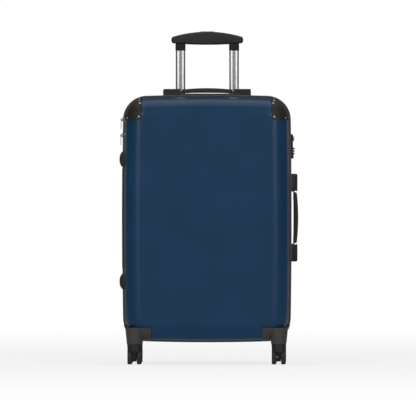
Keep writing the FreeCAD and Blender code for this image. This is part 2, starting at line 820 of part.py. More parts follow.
# the tub is sunk in the shell's top; its floor is the collar that the tubes slide through
tub_body = bar("tub_body", "XY_Plane", "tub_width", "tub_depth", f"tub_drop + tub_wall", "9")
tub_hollow = bar(
    "tub_hollow", "XY_Plane", "tub_width - 2 * tub_wall", "tub_depth - 2 * tub_wall", "tub_drop + 1", "7"
)
flange = bar("tub_flange_plate", "XY_Plane", "tub_width + 12", "tub_depth + 9", "tub_flange + 8", "12", "1.8")
tub_at = ("trolley_y", f"{TUB_FLOOR} - tub_wall")
tub_box = copy("tub_box", tub_body, 0, *tub_at)
flange_at = copy("tub_flange_at", flange, 0, "trolley_y", "tub_top - tub_flange - 8")
flange_on_shell = cut("tub_flange_on_shell", flange_at, outer["rear"])
tub_void = copy("tub_void", tub_hollow, 0, "trolley_y", TUB_FLOOR)
tube_holes = []
for i, sign in enumerate((-1, 1)):
    hole = bar(
        f"tube_hole_{i}",
        "XY_Plane",
        f"{middle_size[0]} + 2 * tube_gap",
        f"{middle_size[1]} + 2 * tube_gap",
        "tub_wall + 2",
        "tube_corner + 2 * tube_wall",
    )
    tube_holes.append(place(hole, f"{sign} * trolley_x", "trolley_y", f"{TUB_FLOOR} - tub_wall - 1"))
keep(
    cut(
        "trolley_tub", fuse("tub_solid", tub_box, flange_on_shell), fuse("tub_voids", tub_void, *tube_holes)
    ),
)

# a foot bar holds the outer tubes' lower ends
foot_block = bar("foot_block", "XY_Plane", "2 * trolley_x + 42", "24", "12", "6", "1.5")
foot_at = place(copy("foot_at", foot_block), 0, "trolley_y", "outer_tube_low - 5")
sockets = []
for i, sign in enumerate((-1, 1)):
    socket = bar(f"foot_socket_{i}", "XY_Plane", OUTER_TUBE_WIDTH, OUTER_TUBE_DEPTH, "10", outer_size[2])
    sockets.append(place(socket, f"{sign} * trolley_x", "trolley_y", "outer_tube_low"))
keep(cut("trolley_foot_bar", foot_at, fuse("foot_sockets", *sockets)))

# lock blocks plug the inner tubes' lower ends; the release rods end in them
lock_blocks = []
for i, sign in enumerate((-1, 1)):
    plug = bar(
        f"lock_block_{i}",
        "XY_Plane",
        "inner_tube_width - 2 * tube_wall",
        "inner_tube_depth - 2 * tube_wall",
        "30",
        "tube_corner - tube_wall",
    )
    place(plug, f"{sign} * trolley_x", "trolley_y", "inner_tube_low")
    bore = round_bar(
        f"lock_block_bore_{i}",
        (f"{sign} * trolley_x", "trolley_y", "inner_tube_low + 8"),
        "rod_radius + 0.3",
        "30",
    )
    lock_blocks.append(cut(f"lock_block_solid_{i}", plug, bore))
keep(group("trolley_lock_blocks", *lock_blocks))

# grip: a crowned bar with a collar over each tube, hollow for the release bridge
grip_body = named("PartDesign::Body", "grip_body")
grip_sketch = sketch_on(grip_body, "XZ_Plane", "grip_profile")
half = value("grip_width") / 2
end_top, end_low = value("grip_end_high"), value("grip_end_low")
crown, belly = value("grip_top"), value("grip_bottom")
END_BULGE = 1.5
corner_x = half - END_BULGE
end_middle = (end_top + end_low) / 2
grip_arcs = [
    ((corner_x, end_top), (0, crown), (-corner_x, end_top)),
    ((-corner_x, end_top), (-half, end_middle), (-corner_x, end_low)),
    ((-corner_x, end_low), (0, belly), (corner_x, end_low)),
    ((corner_x, end_low), (half, end_middle), (corner_x, end_top)),
]
for i, points in enumerate(grip_arcs):
    grip_sketch.addGeometry(Part.Arc(*[Vector(x, z, 0) for x, z in points]))
    grip_sketch.addConstraint(Sketcher.Constraint("Block", i))
for i in range(4):
    grip_sketch.addConstraint(Sketcher.Constraint("Coincident", i, 2, (i + 1) % 4, 1))
grip_pad = pad(grip_body, grip_sketch, "grip_depth", Midplane=True)
grip_ends = fillet(grip_body, grip_pad, lambda b: b.YLength > 20, "6.5")
fillet(grip_body, grip_ends, lambda b: b.YLength < 0.2, "5")
grip_solid = copy("grip_solid", grip_body, 0, "trolley_y", 0)
collars, collar_voids = [], []
for i, sign in enumerate((-1, 1)):
    collar = bar(
        f"collar_{i}",
        "XY_Plane",
        "inner_tube_width + 2 * collar_wall",
        "inner_tube_depth + 2 * collar_wall",
        "grip_end_low - collar_low + 4",
        "tube_corner + collar_wall",
    )
    collars.append(place(collar, f"{sign} * trolley_x", "trolley_y", "collar_low"))
    void = bar(
        f"collar_void_{i}",
        "XY_Plane",
        "inner_tube_width",
        "inner_tube_depth",
        "inner_tube_high - collar_low + 1",
        "tube_corner",
    )
    collar_voids.append(place(void, f"{sign} * trolley_x", "trolley_y", "collar_low - 1"))
BRIDGE_Z = "inner_tube_high + 4"
bridge_room = block(
    "bridge_room",
    ("-trolley_x - 5", "trolley_y - 3.4", "inner_tube_high - 1.5"),
    ("2 * trolley_x + 10", "6.8", "11.5"),
)
button_room = bar("button_room", "XY_Plane", "button_width + 0.8", "button_depth + 0.8", "40", "4.4")
place(button_room, 0, "trolley_y", "inner_tube_high + 5")
grip_voids = fuse("grip_voids", *collar_voids, bridge_room, button_room)
keep(cut("trolley_grip", fuse("grip_with_collars", grip_solid, *collars), grip_voids))

# release: a button in the crown pushes a bridge with a rod down each tube
button_body = bar(
    "button_body",
    "XY_Plane",
    "button_width",
    "button_depth",
    "grip_top - inner_tube_high - 8.4",
    "4",
    "1.2",
)
keep(copy("release_button", button_body, 0, "trolley_y", "inner_tube_high + 9"))
bridge = block(
    "release_bridge",
    ("-trolley_x - 4", "trolley_y - 2.8", BRIDGE_Z),
    ("2 * trolley_x + 8", "5.6", "5"),
)
rods = [
    round_bar(
        f"release_rod_{i}",
        (f"{sign} * trolley_x", "trolley_y", "inner_tube_low + 14"),
        "rod_radius",
        f"{BRIDGE_Z} - inner_tube_low - 12",
    )
    for i, sign in enumerate((-1, 1))
]
keep(fuse("release_rods", bridge, *rods))

# ---------------------------------------------------------------- carry handles, drawn above a wall at z = 0

# bracket: a foot flange and a box with a slot, open towards the handle's middle
bracket_box = bar(
    "bracket_box", "XY_Plane", "bracket_length", "bracket_width - 2", "bracket_high + 8", "5.2", "4"
)
bracket_foot = bar("bracket_foot", "XY_Plane", "bracket_length + 6", "bracket_width + 4", "10.5", "5", "1")
bracket_solid = fuse(
    "bracket_solid",
    copy("bracket_box_at", bracket_box, "handle_span", 0, "-8"),
    copy("bracket_foot_at", bracket_foot, "handle_span + 1", 0, "-8"),
)
bracket_slot = block(
    "bracket_slot",
    ("handle_span - bracket_length / 2 - 4", "-slot_width / 2", "slot_low"),
    ("bracket_length", "slot_width", "slot_high - slot_low"),
)
bracket = cut("bracket_one", bracket_solid, bracket_slot)
HALF_TURN = Rotation(Vector(0, 0, 1), 180)
bracket_pair = fuse("bracket_pair", bracket, copy("bracket_other", bracket, rotation=HALF_TURN))
# the top pair also has a base plate between its brackets, under the grip
base_plate = block(
    "handle_base_plate",
    ("bracket_length / 2 - handle_span - 2", "2 - bracket_width / 2", "-8"),
    ("2 * handle_span - bracket_length + 4", "bracket_width - 4", "slot_low + 7.6"),
)
top_pair = fuse("top_pair", bracket_pair, base_plate)

# grip: an arched bar, thinning to a flat strap that runs in both slots
arch_body = named("PartDesign::Body", "handle_arch")
arch_sketch = sketch_on(arch_body, "XZ_Plane", "arch_profile")
arch_half = value("handle_span - bracket_length / 2") - 1.5
arch_end_high, belly_high = 17.4, 9.2
strap_low = value("slot_low + 0.4")
crown_high = value("handle_crown")
arch = [
    Part.Arc(
        Vector(arch_half, arch_end_high, 0), Vector(0, crown_high, 0), Vector(-arch_half, arch_end_high, 0)
    ),
    Part.LineSegment(Vector(-arch_half, arch_end_high, 0), Vector(-arch_half, strap_low, 0)),
    Part.Arc(Vector(-arch_half, strap_low, 0), Vector(0, belly_high, 0), Vector(arch_half, strap_low, 0)),
    Part.LineSegment(Vector(arch_half, strap_low, 0), Vector(arch_half, arch_end_high, 0)),
]
for i, edge in enumerate(arch):
    arch_sketch.addGeometry(edge)
    arch_sketch.addConstraint(Sketcher.Constraint("Block", i))
# an arc's own ends run counter-clockwise, so the hollow underside is joined the other way round
for ends in ((0, 2, 1, 1), (1, 2, 2, 2), (2, 1, 3, 1), (3, 2, 0, 1)):
    arch_sketch.addConstraint(Sketcher.Constraint("Coincident", *ends))
arch_pad = pad(arch_body, arch_sketch, "bracket_width - 3", Midplane=True)
arch_ends = fillet(arch_body, arch_pad, lambda b: b.YLength > 15, "3.5")
fillet(arch_body, arch_ends, lambda b: b.YLength < 0.2, "2.5")
STRAP_REACH = "handle_span + bracket_length / 2 - 9"
strap_bar = block(
    "handle_strap",
    (f"-({STRAP_REACH})", "-strap_width / 2", "slot_low + 0.4"),
    (f"2 * ({STRAP_REACH})", "strap_width", "strap_thick"),
)
belly_cut = block("strap_middle", ("-45", "-20", "0"), ("90", "40", "9.4"))
carry_grip = fuse("carry_grip_prototype", arch_body, cut("handle_strap_ends", strap_bar, belly_cut))

TOP_WALL = "case_base + case_height - 1.2"
SIDE_WALL = "case_width / 2 - 1.3"
UPRIGHT = Rotation(Vector(0, 1, 0), 90)
top_at = (0, "handle_y", TOP_WALL)
side_at = (SIDE_WALL, "handle_y", "handle_z")
brackets = group(
    "bracket_group",
    copy("top_brackets", top_pair, *top_at),
    copy("side_brackets", bracket_pair, *side_at, rotation=UPRIGHT),
)
keep(cut("handle_brackets", brackets, outer["rear"]))
keep(copy("top_handle_grip", carry_grip, *top_at))
keep(copy("side_handle_grip", carry_grip, *side_at, rotation=UPRIGHT))

# ---------------------------------------------------------------- combination lock

lock_face_body = bar("lock_face_block", "XY_Plane", "lock_tall", "lock_wide", "14", "5", "1.5")
lock_front = copy("lock_front", lock_face_body, "lock_face - 14", "handle_y", "lock_z", rotation=UPRIGHT)
lock_core = block(
    "lock_core",
    (LOCK_BACK, "handle_y - 10.4", "lock_z - lock_tall / 2 + 3"),
    ("14", "20.8", "lock_tall - 6"),
)
lock_solid = fuse("lock_solid", cut("lock_on_wall", lock_front, outer["rear"]), lock_core)
DIALS = 3
dial_heights = [f"dial_mid_z + {1 - i} * dial_pitch" for i in range(DIALS)]
dial_rooms = [
    round_bar(
        f"dial_room_{i + 1}",
        ("dial_x", "handle_y", f"{height} - dial_thick / 2 - 0.3"),
        "dial_radius + 0.5",
        "dial_thick + 0.6",
    )
    for i, height in enumerate(dial_heights)
]
# the face is cut back beside the dials, so that a finger reaches their rims
thumb_cut = block(
    "thumb_cut",
    ("lock_face - 1.6", "handle_y - 9", "dial_mid_z - 9.2"),
    ("5", "18", "18.4"),
)
PIN_LOW = "dial_mid_z - dial_pitch - 3.6"
PIN_LONG = "2 * dial_pitch + 7.2"
pin_hole = round_bar("dial_pin_hole", ("dial_x", "handle_y", PIN_LOW), "dial_pin", PIN_LONG)
button_pocket = block(
    "lock_button_pocket", ("lock_face - 5", "handle_y - 5.3", "lock_z + 12.7"), ("10", "10.6", "12.6")
)
# two slots take the tips of the zip pulls
pull_slots = [
    block(f"pull_slot_{i}", ("lock_face - 6", low, "lock_z + 8"), ("10", "2.4", "15"))
    for i, low in enumerate(("handle_y - 10.5", "handle_y + 8.1"))
]
key_hole = round_bar(
    "key_bore", ("lock_face - 9", "handle_y", "key_z"), "key_radius + running_gap", "12", "x"
)
lock_voids = fuse("lock_voids", *dial_rooms, thumb_cut, pin_hole, button_pocket, *pull_slots, key_hole)
dial_pin_bar = round_bar("dial_pin_bar", ("dial_x", "handle_y", PIN_LOW), "dial_pin", PIN_LONG)
keep(group("lock_housing", cut("lock_case", lock_solid, lock_voids), dial_pin_bar))
for i, height in enumerate(dial_heights):
    disc = round_bar(
        f"dial_disc_{i + 1}",
        ("dial_x", "handle_y", f"{height} - dial_thick / 2"),
        "dial_radius",
        "dial_thick",
    )
    bore = round_bar(
        f"dial_bore_{i + 1}",
        ("dial_x", "handle_y", f"{height} - dial_thick / 2"),
        "dial_pin + running_gap",
        "dial_thick",
    )
    keep(cut(f"lock_dial_{i + 1}", disc, bore))
lock_button_body = bar("lock_button_body", "XY_Plane", "12", "10", "6", "2.4", "0.9")
keep(copy("lock_button", lock_button_body, "lock_face - 3", "handle_y", "lock_z + 19", rotation=UPRIGHT))
key_plug = round_bar("key_plug", ("lock_face - 7.8", "handle_y", "key_z"), "key_radius", "7.5", "x")
key_slot = block("key_slot", ("lock_face - 6", "handle_y - 0.5", "key_z - 2.6"), ("8", "1", "5.2"))
keep(cut("lock_cylinder", key_plug, key_slot))

# ---------------------------------------------------------------- side feet

# Domed pads on the left side, with a small flat on each dome for the case to lie on.
for side, sign in SIDES.items():
    domes = []
    for level in ("high", "low"):
        dome = named("Part::Ellipsoid", f"foot_dome_{side}_{level}")
        bind(dome, Radius1="foot_tall / 2", Radius2="foot_bulge", Radius3="foot_deep / 2")
        domes.append(place(dome, "-foot_centre_x", f"{sign} * foot_y", f"foot_{level}_z"))
    rest_side = block(f"foot_rest_limit_{side}", ("-foot_x", "-200", "0"), ("60", "400", "700"))
    flattened = common(f"feet_flat_{side}", group(f"foot_domes_{side}", *domes), rest_side)
    keep(cut(f"side_feet_{side}", flattened, outer[side]))

# ---------------------------------------------------------------- zip sliders and pulls

PULL_LONG = 23
SLIDER_LONG = 11


def band_x(z):
    """Half-width to the zip band's outer face at a height, where the side is a crowned arc."""
    reach = (z - value(CASE_MIDDLE)) / value("case_height / 2 - crown_top")
    return value("case_width / 2 + band_out") - value("crown_side") * reach**2


for name, z in (("upper", 601.0), ("lower", 562.0)):
    x = -band_x(z - SLIDER_LONG / 2) - 0.35
    slider_body = bar(f"slider_body_{name}", "XY_Plane", f"{SLIDER_LONG}", "9", "2.6", "3", "0.8")
    plate_at = place(slider_body, x, 0, z, rotation=Rotation(Vector(0, 1, 0), -90))
    posts = [
        block(f"slider_post_{name}_{i}", (x - 5.6, low, z - 3.5), (3.6, 1.2, 6.5))
        for i, low in enumerate((-4.2, 3.0))
    ]
    pin = round_bar(f"slider_pin_{name}", (x - 4.3, -4.2, z - 1.2), 0.8, 8.4, "y")
    keep(fuse(f"zip_slider_{name}", plate_at, *posts, pin))
    # the pull is a flat tab that hangs from the pin
    tab = block(f"pull_tab_{name}", (x - 5.1, -2.7, z - 1.2 - PULL_LONG), (1.6, 5.4, PULL_LONG))
    eye = round_bar(f"pull_eye_{name}", (x - 4.3, -2.7, z - 1.2), 1.5, 5.4, "y")
    hole = round_bar(f"pull_hole_{name}", (x - 4.3, -2.8, z - 1.2), 0.86, 5.6, "y")
    window = block(f"pull_window_{name}", (x - 6, -1.4, z - 1.2 - PULL_LONG + 3), (4, 2.8, PULL_LONG - 9))
    keep(
        cut(
            f"zip_pull_{name}",
            fuse(f"pull_solid_{name}", tab, eye),
            fuse(f"pull_holes_{name}", hole, window),
        ),
    )

# ---------------------------------------------------------------- build, test and write

doc.recompute()
failed = [o.Label for o in doc.Objects if {"Invalid", "Error"} & set(o.State)]
if failed:
    raise SystemExit(f"these objects failed: {failed}")
for node in nodes:
    shape = node.Shape
    if shape.isNull() or not shape.isValid() or not shape.Solids:
        raise SystemExit(f"{node.Label} has no valid solid")
os.makedirs("parts", exist_ok=True)
for old in os.listdir("parts"):
    os.remove(os.path.join("parts", old))
for node in nodes:
    node.Shape.exportStep(f"parts/{node.Label}.step")
print(len(nodes), "sub-parts")
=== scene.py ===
import json
import math

import bmesh
import bpy
import numpy as np
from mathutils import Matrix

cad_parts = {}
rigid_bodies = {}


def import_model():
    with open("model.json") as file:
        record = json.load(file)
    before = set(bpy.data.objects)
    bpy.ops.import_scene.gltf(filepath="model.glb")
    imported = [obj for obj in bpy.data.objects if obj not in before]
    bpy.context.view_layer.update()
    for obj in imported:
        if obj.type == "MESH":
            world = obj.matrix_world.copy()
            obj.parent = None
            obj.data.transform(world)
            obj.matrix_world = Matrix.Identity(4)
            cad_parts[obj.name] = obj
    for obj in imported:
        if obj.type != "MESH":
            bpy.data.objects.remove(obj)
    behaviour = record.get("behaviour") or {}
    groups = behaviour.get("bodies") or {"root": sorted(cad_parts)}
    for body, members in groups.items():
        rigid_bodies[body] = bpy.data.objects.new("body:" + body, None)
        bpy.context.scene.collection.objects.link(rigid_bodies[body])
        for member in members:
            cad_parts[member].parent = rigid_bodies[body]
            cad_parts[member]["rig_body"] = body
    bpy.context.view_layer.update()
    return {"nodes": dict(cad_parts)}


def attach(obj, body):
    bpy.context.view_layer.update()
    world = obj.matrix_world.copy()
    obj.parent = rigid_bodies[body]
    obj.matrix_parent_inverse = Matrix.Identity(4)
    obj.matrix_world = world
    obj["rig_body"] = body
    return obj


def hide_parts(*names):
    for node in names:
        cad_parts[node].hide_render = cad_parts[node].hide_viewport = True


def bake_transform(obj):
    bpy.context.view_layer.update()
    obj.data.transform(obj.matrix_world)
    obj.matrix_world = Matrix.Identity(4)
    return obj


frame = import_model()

# ---------------------------------------------------------------- camera and studio
# A long lens in front of the case and a little above its middle, as a shop's studio has it. The
# floor is flat pale card that turns plain white with painted glow away from the case, and large soft
# boxes stand in front at both sides.

MM = 0.001
AZIMUTH, ELEVATION = math.radians(0.5), math.radians(0.7)
DISTANCE = 40.0
FRAME_HEIGHT = 1.0222  # what the frame takes in at the case, top to bottom
SENSOR = 36  # mm
AIM = np.array([0.0028, -0.02, 0.3829])

back = np.array(
    [
        math.sin(AZIMUTH) * math.cos(ELEVATION),
        -math.cos(AZIMUTH) * math.cos(ELEVATION),
        math.sin(ELEVATION),
    ]
)
camera_data = bpy.data.cameras.new("camera")
camera_data.sensor_width = SENSOR
camera_data.lens = DISTANCE * SENSOR / FRAME_HEIGHT
camera_data.clip_end = 120
camera = bpy.data.objects.new("camera", camera_data)
camera.location = AIM + DISTANCE * back
camera.rotation_euler = (math.pi / 2 - ELEVATION, 0, AZIMUTH)
bpy.context.scene.collection.objects.link(camera)
bpy.context.scene.camera = camera
bpy.context.scene.view_settings.view_transform = "Standard"


def linear(colour):
    """A colour given as sRGB hex, turned to the linear values that shaders take."""
    channels = np.array([int(colour[i : i + 2], 16) for i in (1, 3, 5)]) / 255
    low, high = channels / 12.92, ((channels + 0.055) / 1.055) ** 2.4
    return (*np.where(channels <= 0.04045, low, high).tolist(), 1.0)


def add(tree, kind, inputs=None, stops=None, **settings):
    """Adds one node. Inputs map a socket to a value or to another node's output; a ramp also takes its
    stops, each a position and a hex colour or grey value; the other settings are the node's own.

    A map range's sockets 1 to 4 are the lowest and highest value it takes and those it gives."""
    made = tree.nodes.new(kind)
    for name, setting in settings.items():
        setattr(made, name, setting)
    for socket, value in (inputs or {}).items():
        if isinstance(value, bpy.types.NodeSocket):
            tree.links.new(value, made.inputs[socket])
        else:
            made.inputs[socket].default_value = value
    if stops:
        elements = made.color_ramp.elements
        while len(elements) < len(stops):
            elements.new(0.5)
        for element, (position, colour) in zip(elements, stops):
            element.position = position
            element.color = linear(colour) if isinstance(colour, str) else (colour, colour, colour, 1)
    return made


# The room: the camera sees plain white behind the case. Surfaces mirror a grey room with a bright
# ceiling, a dim middle where the camera stands, a bright panel each side of it and dark flags beyond
# and behind.
world = bpy.data.worlds.new("studio")
bpy.context.scene.world = world
world.use_nodes = True
sky = world.node_tree
sky.nodes.clear()
direction = add(sky, "ShaderNodeTexCoord").outputs["Generated"]
parts = add(sky, "ShaderNodeSeparateXYZ", {0: direction})
aside = add(sky, "ShaderNodeMath", {0: parts.outputs["X"]}, operation="ABSOLUTE").outputs[0]
panels = add(
    sky, "ShaderNodeValToRGB", {0: aside},
    stops=[(0.0, 0.3), (0.15, 0.45), (0.3, 0.9), (0.5, 0.85), (0.68, 0.34), (0.82, 0.1), (1.0, 0.08)],
).outputs[0]
up = add(sky, "ShaderNodeMapRange", {0: parts.outputs["Z"], 1: -1.0, 2: 1.0}).outputs[0]
ceiling = add(
    sky, "ShaderNodeValToRGB", {0: up}, stops=[(0.0, 0.3), (0.46, 0.0), (0.62, 0.0), (0.8, 0.14), (1.0, 0.4)]
).outputs[0]
front = add(sky, "ShaderNodeMapRange", {0: parts.outputs["Y"], 1: 0.0, 2: 0.45, 3: 1.0, 4: 0.25}).outputs[0]
shown = add(sky, "ShaderNodeMath", {0: panels, 1: front}, operation="MULTIPLY").outputs[0]
light = add(
    sky, "ShaderNodeMix", {0: 1.0, 6: shown, 7: ceiling}, data_type="RGBA", blend_type="LIGHTEN"
).outputs[2]
seen = add(sky, "ShaderNodeLightPath").outputs["Is Camera Ray"]
studio = add(sky, "ShaderNodeBackground", {0: light, 1: 0.95})
plain = add(sky, "ShaderNodeBackground", {0: (1, 1, 1, 1), 1: 1.0})
mixed = add(sky, "ShaderNodeMixShader", {0: seen, 1: studio.outputs[0], 2: plain.outputs[0]})
add(sky, "ShaderNodeOutputWorld", {0: mixed.outputs[0]})


def soft_box(name, place, target, size, power):
    """A rectangular soft light of that width and height at a place, turned to face a target."""
    data = bpy.data.lights.new(name, "AREA")
    data.shape = "RECTANGLE"
    data.size, data.size_y = size
    data.energy = power
    lamp = bpy.data.objects.new(name, data)
    toward = np.subtract(target, place)
    flat = math.hypot(toward[0], toward[1])
    lamp.location = place
    lamp.rotation_euler = (math.atan2(flat, -toward[2]), 0, math.atan2(toward[1], toward[0]) - math.pi / 2)
    bpy.context.scene.collection.objects.link(lamp)


for hand, way in (("left", -1), ("right", 1)):
    soft_box(f"key_{hand}", place=(way * 1.7, -3.6, 1.5), target=(0, 0, 0.4), size=(1.0, 1.6), power=24)
soft_box("overhead", place=(0, 0.2, 3.0), target=(0, 0, 0), size=(3.0, 2.6), power=26)


def start(name, colour, roughness, **sockets):
    """Starts a material: its shader with constant sockets, underscores standing for spaces in their names.

    Returns the material, its tree, its shader and the object coordinates that its patterns read."""
    material = bpy.data.materials.new(name)
    material.use_nodes = True
    shader = material.node_tree.nodes["Principled BSDF"]
    shader.inputs["Base Color"].default_value = linear(colour)
    shader.inputs["Roughness"].default_value = roughness
    for socket, value in sockets.items():
        shader.inputs[socket.replace("_", " ")].default_value = value
    at = add(material.node_tree, "ShaderNodeTexCoord").outputs["Object"]
    return material, material.node_tree, shader, at


# White card, matt: a faint fibrous tooth. It glows with painted light, though it is no lamp: near the case
# the glow makes 0.76 of its look and softens the shadows there, and from 4.5 m out it is all glow and plain
# white. In the case's own mirror the painted glow is dimmed to 0.12 of its strength.
card, tree, shader, at = start("white_card_painted_glow", "#F0F0F0", 0.85, Specular_IOR_Level=0.1)
tooth = add(tree, "ShaderNodeTexNoise", {"Vector": at, "Scale": 900.0, "Detail": 2.0})
toned = add(tree, "ShaderNodeValToRGB", {0: tooth.outputs["Fac"]}, stops=[(0.3, "#EEEEEE"), (0.7, "#F3F3F3")])
tree.links.new(toned.outputs[0], shader.inputs["Base Color"])
away = add(tree, "ShaderNodeVectorMath", {0: at}, operation="LENGTH").outputs["Value"]
# the share of painted glow: 0.76 by the case, rising to all of it 4.5 m away
painted_glow_share = add(
    tree, "ShaderNodeMapRange", {0: away, 1: 0.4, 2: 4.5, 3: 0.76, 4: 1.0}, interpolation_type="SMOOTHSTEP"
).outputs[0]
mirrored = add(tree, "ShaderNodeLightPath").outputs["Is Glossy Ray"]
power = add(tree, "ShaderNodeMapRange", {0: mirrored, 3: 1.0, 4: 0.12}).outputs[0]
# painted light: the card's own white glow, dimmed to 0.12 where the case mirrors it
painted_glow = add(tree, "ShaderNodeEmission", {0: (1, 1, 1, 1), 1: power}).outputs[0]
sweep = add(tree, "ShaderNodeMixShader", {0: painted_glow_share, 1: shader.outputs[0], 2: painted_glow}).outputs[0]
tree.links.new(sweep, tree.nodes["Material Output"].inputs["Surface"])


def mesh_piece(name, points, faces, material=None, smooth=True):
    """A mesh object at the origin from an array of points in millimetres and an array of faces."""
    mesh = bpy.data.meshes.new(name)
    mesh.from_pydata((np.asarray(points, float) * MM).tolist(), [], np.asarray(faces).tolist())
    mesh.update()
    mesh.polygons.foreach_set("use_smooth", np.full(len(mesh.polygons), smooth))
    piece = bpy.data.objects.new(name, mesh)
    bpy.context.scene.collection.objects.link(piece)
    if material is not None:
        mesh.materials.append(material)
    return piece


def grid_faces(rows, columns, close_rows=False, close_columns=False, flip=False):
    """Quads over a grid of points stored row by row, wrapping round where a direction is closed."""
    r = np.arange(rows if close_rows else rows - 1)[:, None]
    c = np.arange(columns if close_columns else columns - 1)[None, :]
    corner = lambda i, j: (i % rows) * columns + j % columns
    quads = np.stack([corner(r, c), corner(r, c + 1), corner(r + 1, c + 1), corner(r + 1, c)], -1)
    quads = quads.reshape(-1, 4)
    return quads[:, ::-1] if flip else quads


FLOOR_REACH, FLOOR_LINES = 11000, 9
marks = np.linspace(-FLOOR_REACH, FLOOR_REACH, FLOOR_LINES)
x, y = np.meshgrid(marks, marks)
flat = np.stack([x.ravel(), y.ravel(), 0 * x.ravel()], 1)
floor = mesh_piece("floor", flat, grid_faces(FLOOR_LINES, FLOOR_LINES), card)


def settle(piece, body, nodes):
    """Says which body a new piece moves with and which nodes it stands for, and hides those nodes."""
    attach(piece, body)
    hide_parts(*([nodes] if isinstance(nodes, str) else nodes))
    return piece


# ---------------------------------------------------------------- shells
# Two trays of polycarbonate and ABS sheet, 2.5 mm thick, vacuum-formed over a mould. The front one is
# the lid and plain. The rear one has upright grooves in its back and is cut for the tub and the lock.

WIDTH, HEIGHT, MIDDLE = 409.5, 601.5, 356.75  # mm; the last is the height of the shells' middle
HALF_DEPTH, ZIP_HALF, SHEET = 127.0, 7.0, 2.5
CROWN_SIDE, CROWN_TOP = 3.0, 4.5
CORNER = 52.0
DRAFT_ANGLE = math.radians(3)
DRAFT = math.tan(DRAFT_ANGLE)
ROUND = 10  # steps in half a corner
EASED = 26  # mm over which the face's grid bends to meet the rounded corners
TUB_HALF, TUB_START, TUB_END, TUB_LEVEL = 98, 77.6, 115, 600
LOCK_Y, LOCK_Z = 30.0, 534
LOCK_CUT_Y, LOCK_CUT_Z = 12, 25  # half the opening under the lock's flange
SIDE_WALL = 185  # only the right wall lies further out than this


def rim_directions(across, upright):
    """Where each point of a ring lies: which part of the straight runs, and which way the corner turns.

    The ring starts at the lower left corner's middle and goes round the lower, right, upper and left
    sides, with so many steps across and upright. A point is the corner circle's centre, which slides
    along the straight runs, plus the corner's radius times a unit direction.
    """
    runs = []
    for count, turn in ((across, -90), (upright, 0), (across, 90), (upright, 180)):
        bend = np.linspace(-45, 0, ROUND + 1)[:-1]
        line = np.linspace(-1, 1, count - 2 * ROUND + 1)
        rest = np.linspace(0, 45, ROUND + 1)[1:-1]
        along = np.concatenate([np.full(ROUND, -1.0), line, np.full(ROUND - 1, 1.0)])
        angle = np.radians(turn + np.concatenate([bend, 0 * line, rest]))
        a = math.radians(turn)
        side = np.stack([np.full_like(along, math.cos(a)) - along * math.sin(a),
                         np.full_like(along, math.sin(a)) + along * math.cos(a)], 1)
        runs.append((side, np.stack([np.cos(angle), np.sin(angle)], 1)))
    return np.concatenate([r[0] for r in runs]), np.concatenate([r[1] for r in runs])


def rim(inset, radius, directions):
    """Rings of the case's outline: a rounded rectangle drawn in by each inset, its four sides crowned.

    The crown moves a side's middle out and leaves the corners: a point at x, z goes out by the crown
    times its share of the half width, less the share that its height has of the half height, squared.
    """
    inset, radius = np.atleast_1d(inset)[:, None, None], np.atleast_1d(radius)[:, None, None]
    half = np.array([WIDTH / 2 - CROWN_SIDE, HEIGHT / 2 - CROWN_TOP]) - inset
    flat = directions[0] * (half - radius) + radius * directions[1]
    share = flat / half
    crown = np.array([CROWN_SIDE, CROWN_TOP]) * share * (1 - share[..., ::-1] ** 2)
    return flat + crown


def tray(edge, grow=0.0, bulge=0.0, across=116, upright=90):
    """One half of the case as an open tray, as points (x, depth, z) and faces, before its thickness.

    The wall leaves the rim at the draft angle, turns through a circle of radius "edge" into the face,
    and the face is a flat grid between its four edges, raised in its middle by a bulge.
    """
    face = HALF_DEPTH + grow
    centre_y = face - edge
    centre_in = (centre_y - ZIP_HALF) * DRAFT + edge / math.cos(DRAFT_ANGLE)
    # rows lie at both sides of the lock and where the tub begins, so that their openings can follow them
    front, back = LOCK_Y - LOCK_CUT_Y, LOCK_Y + LOCK_CUT_Y
    stops = [(ZIP_HALF, front, 3), (front, back, 4), (back, TUB_START, 6), (TUB_START, centre_y, 5)]
    wall_y = np.concatenate([[ZIP_HALF]] + [np.linspace(*stop)[1:] for stop in stops])
    wall_in = (wall_y - ZIP_HALF) * DRAFT
    phi = np.linspace(DRAFT_ANGLE, math.pi / 2, 15)[1:]
    turn_y, turn_in = centre_y + edge * np.sin(phi), centre_in - edge * np.cos(phi)
    radius = np.concatenate([np.full(len(wall_y), CORNER), CORNER - (turn_in - wall_in[-1])])
    inset = np.concatenate([wall_in, turn_in]) - grow
    depth = np.concatenate([wall_y, turn_y])
    ring = rim(inset, radius + grow, rim_directions(across, upright))
    rows, columns = ring.shape[:2]
    points = np.stack([ring[..., 0], np.broadcast_to(depth[:, None], ring.shape[:2]), ring[..., 1]], -1)
    # the face's grid: straight columns and rows, eased over the last stretch to meet the rounded corners
    last = ring[-1]
    low, right = last[: across + 1], last[across : across + upright + 1]
    high = last[across + upright : 2 * across + upright + 1][::-1]
    left = np.concatenate([last[2 * across + upright :], last[:1]])[::-1]

    def ease(line):
        """Weights that fall from one to nothing over a stretch from a line's start."""
        reach = np.clip(1 - np.abs(line - line[0]) / EASED, 0, 1)
        return reach * reach * (3 - 2 * reach)

    to_left, to_right = ease(low[:, 0])[None, :], ease(low[::-1, 0])[::-1][None, :]
    to_low, to_high = ease(left[:, 1])[:, None], ease(left[::-1, 1])[::-1][:, None]
    x = low[None, :, 0] + to_left * (left[:, :1] - left[0, 0]) + to_right * (right[:, :1] - right[0, 0])
    z = left[:, 1:] + to_low * (low[None, :, 1] - low[0, 1]) + to_high * (high[None, :, 1] - high[0, 1])
    arch = (1 - (x / last[:, 0].max()) ** 2) * (1 - (z / last[:, 1].max()) ** 2)
    patch = np.stack([x, face + bulge * np.clip(arch, 0, 1), z], -1)
    points = np.concatenate([points.reshape(-1, 3), patch.reshape(-1, 3)])
    faces = np.concatenate(
        [grid_faces(rows, columns, close_columns=True), grid_faces(upright + 1, across + 1) + rows * columns]
    )
    points[:, 2] += MIDDLE
    return points, faces


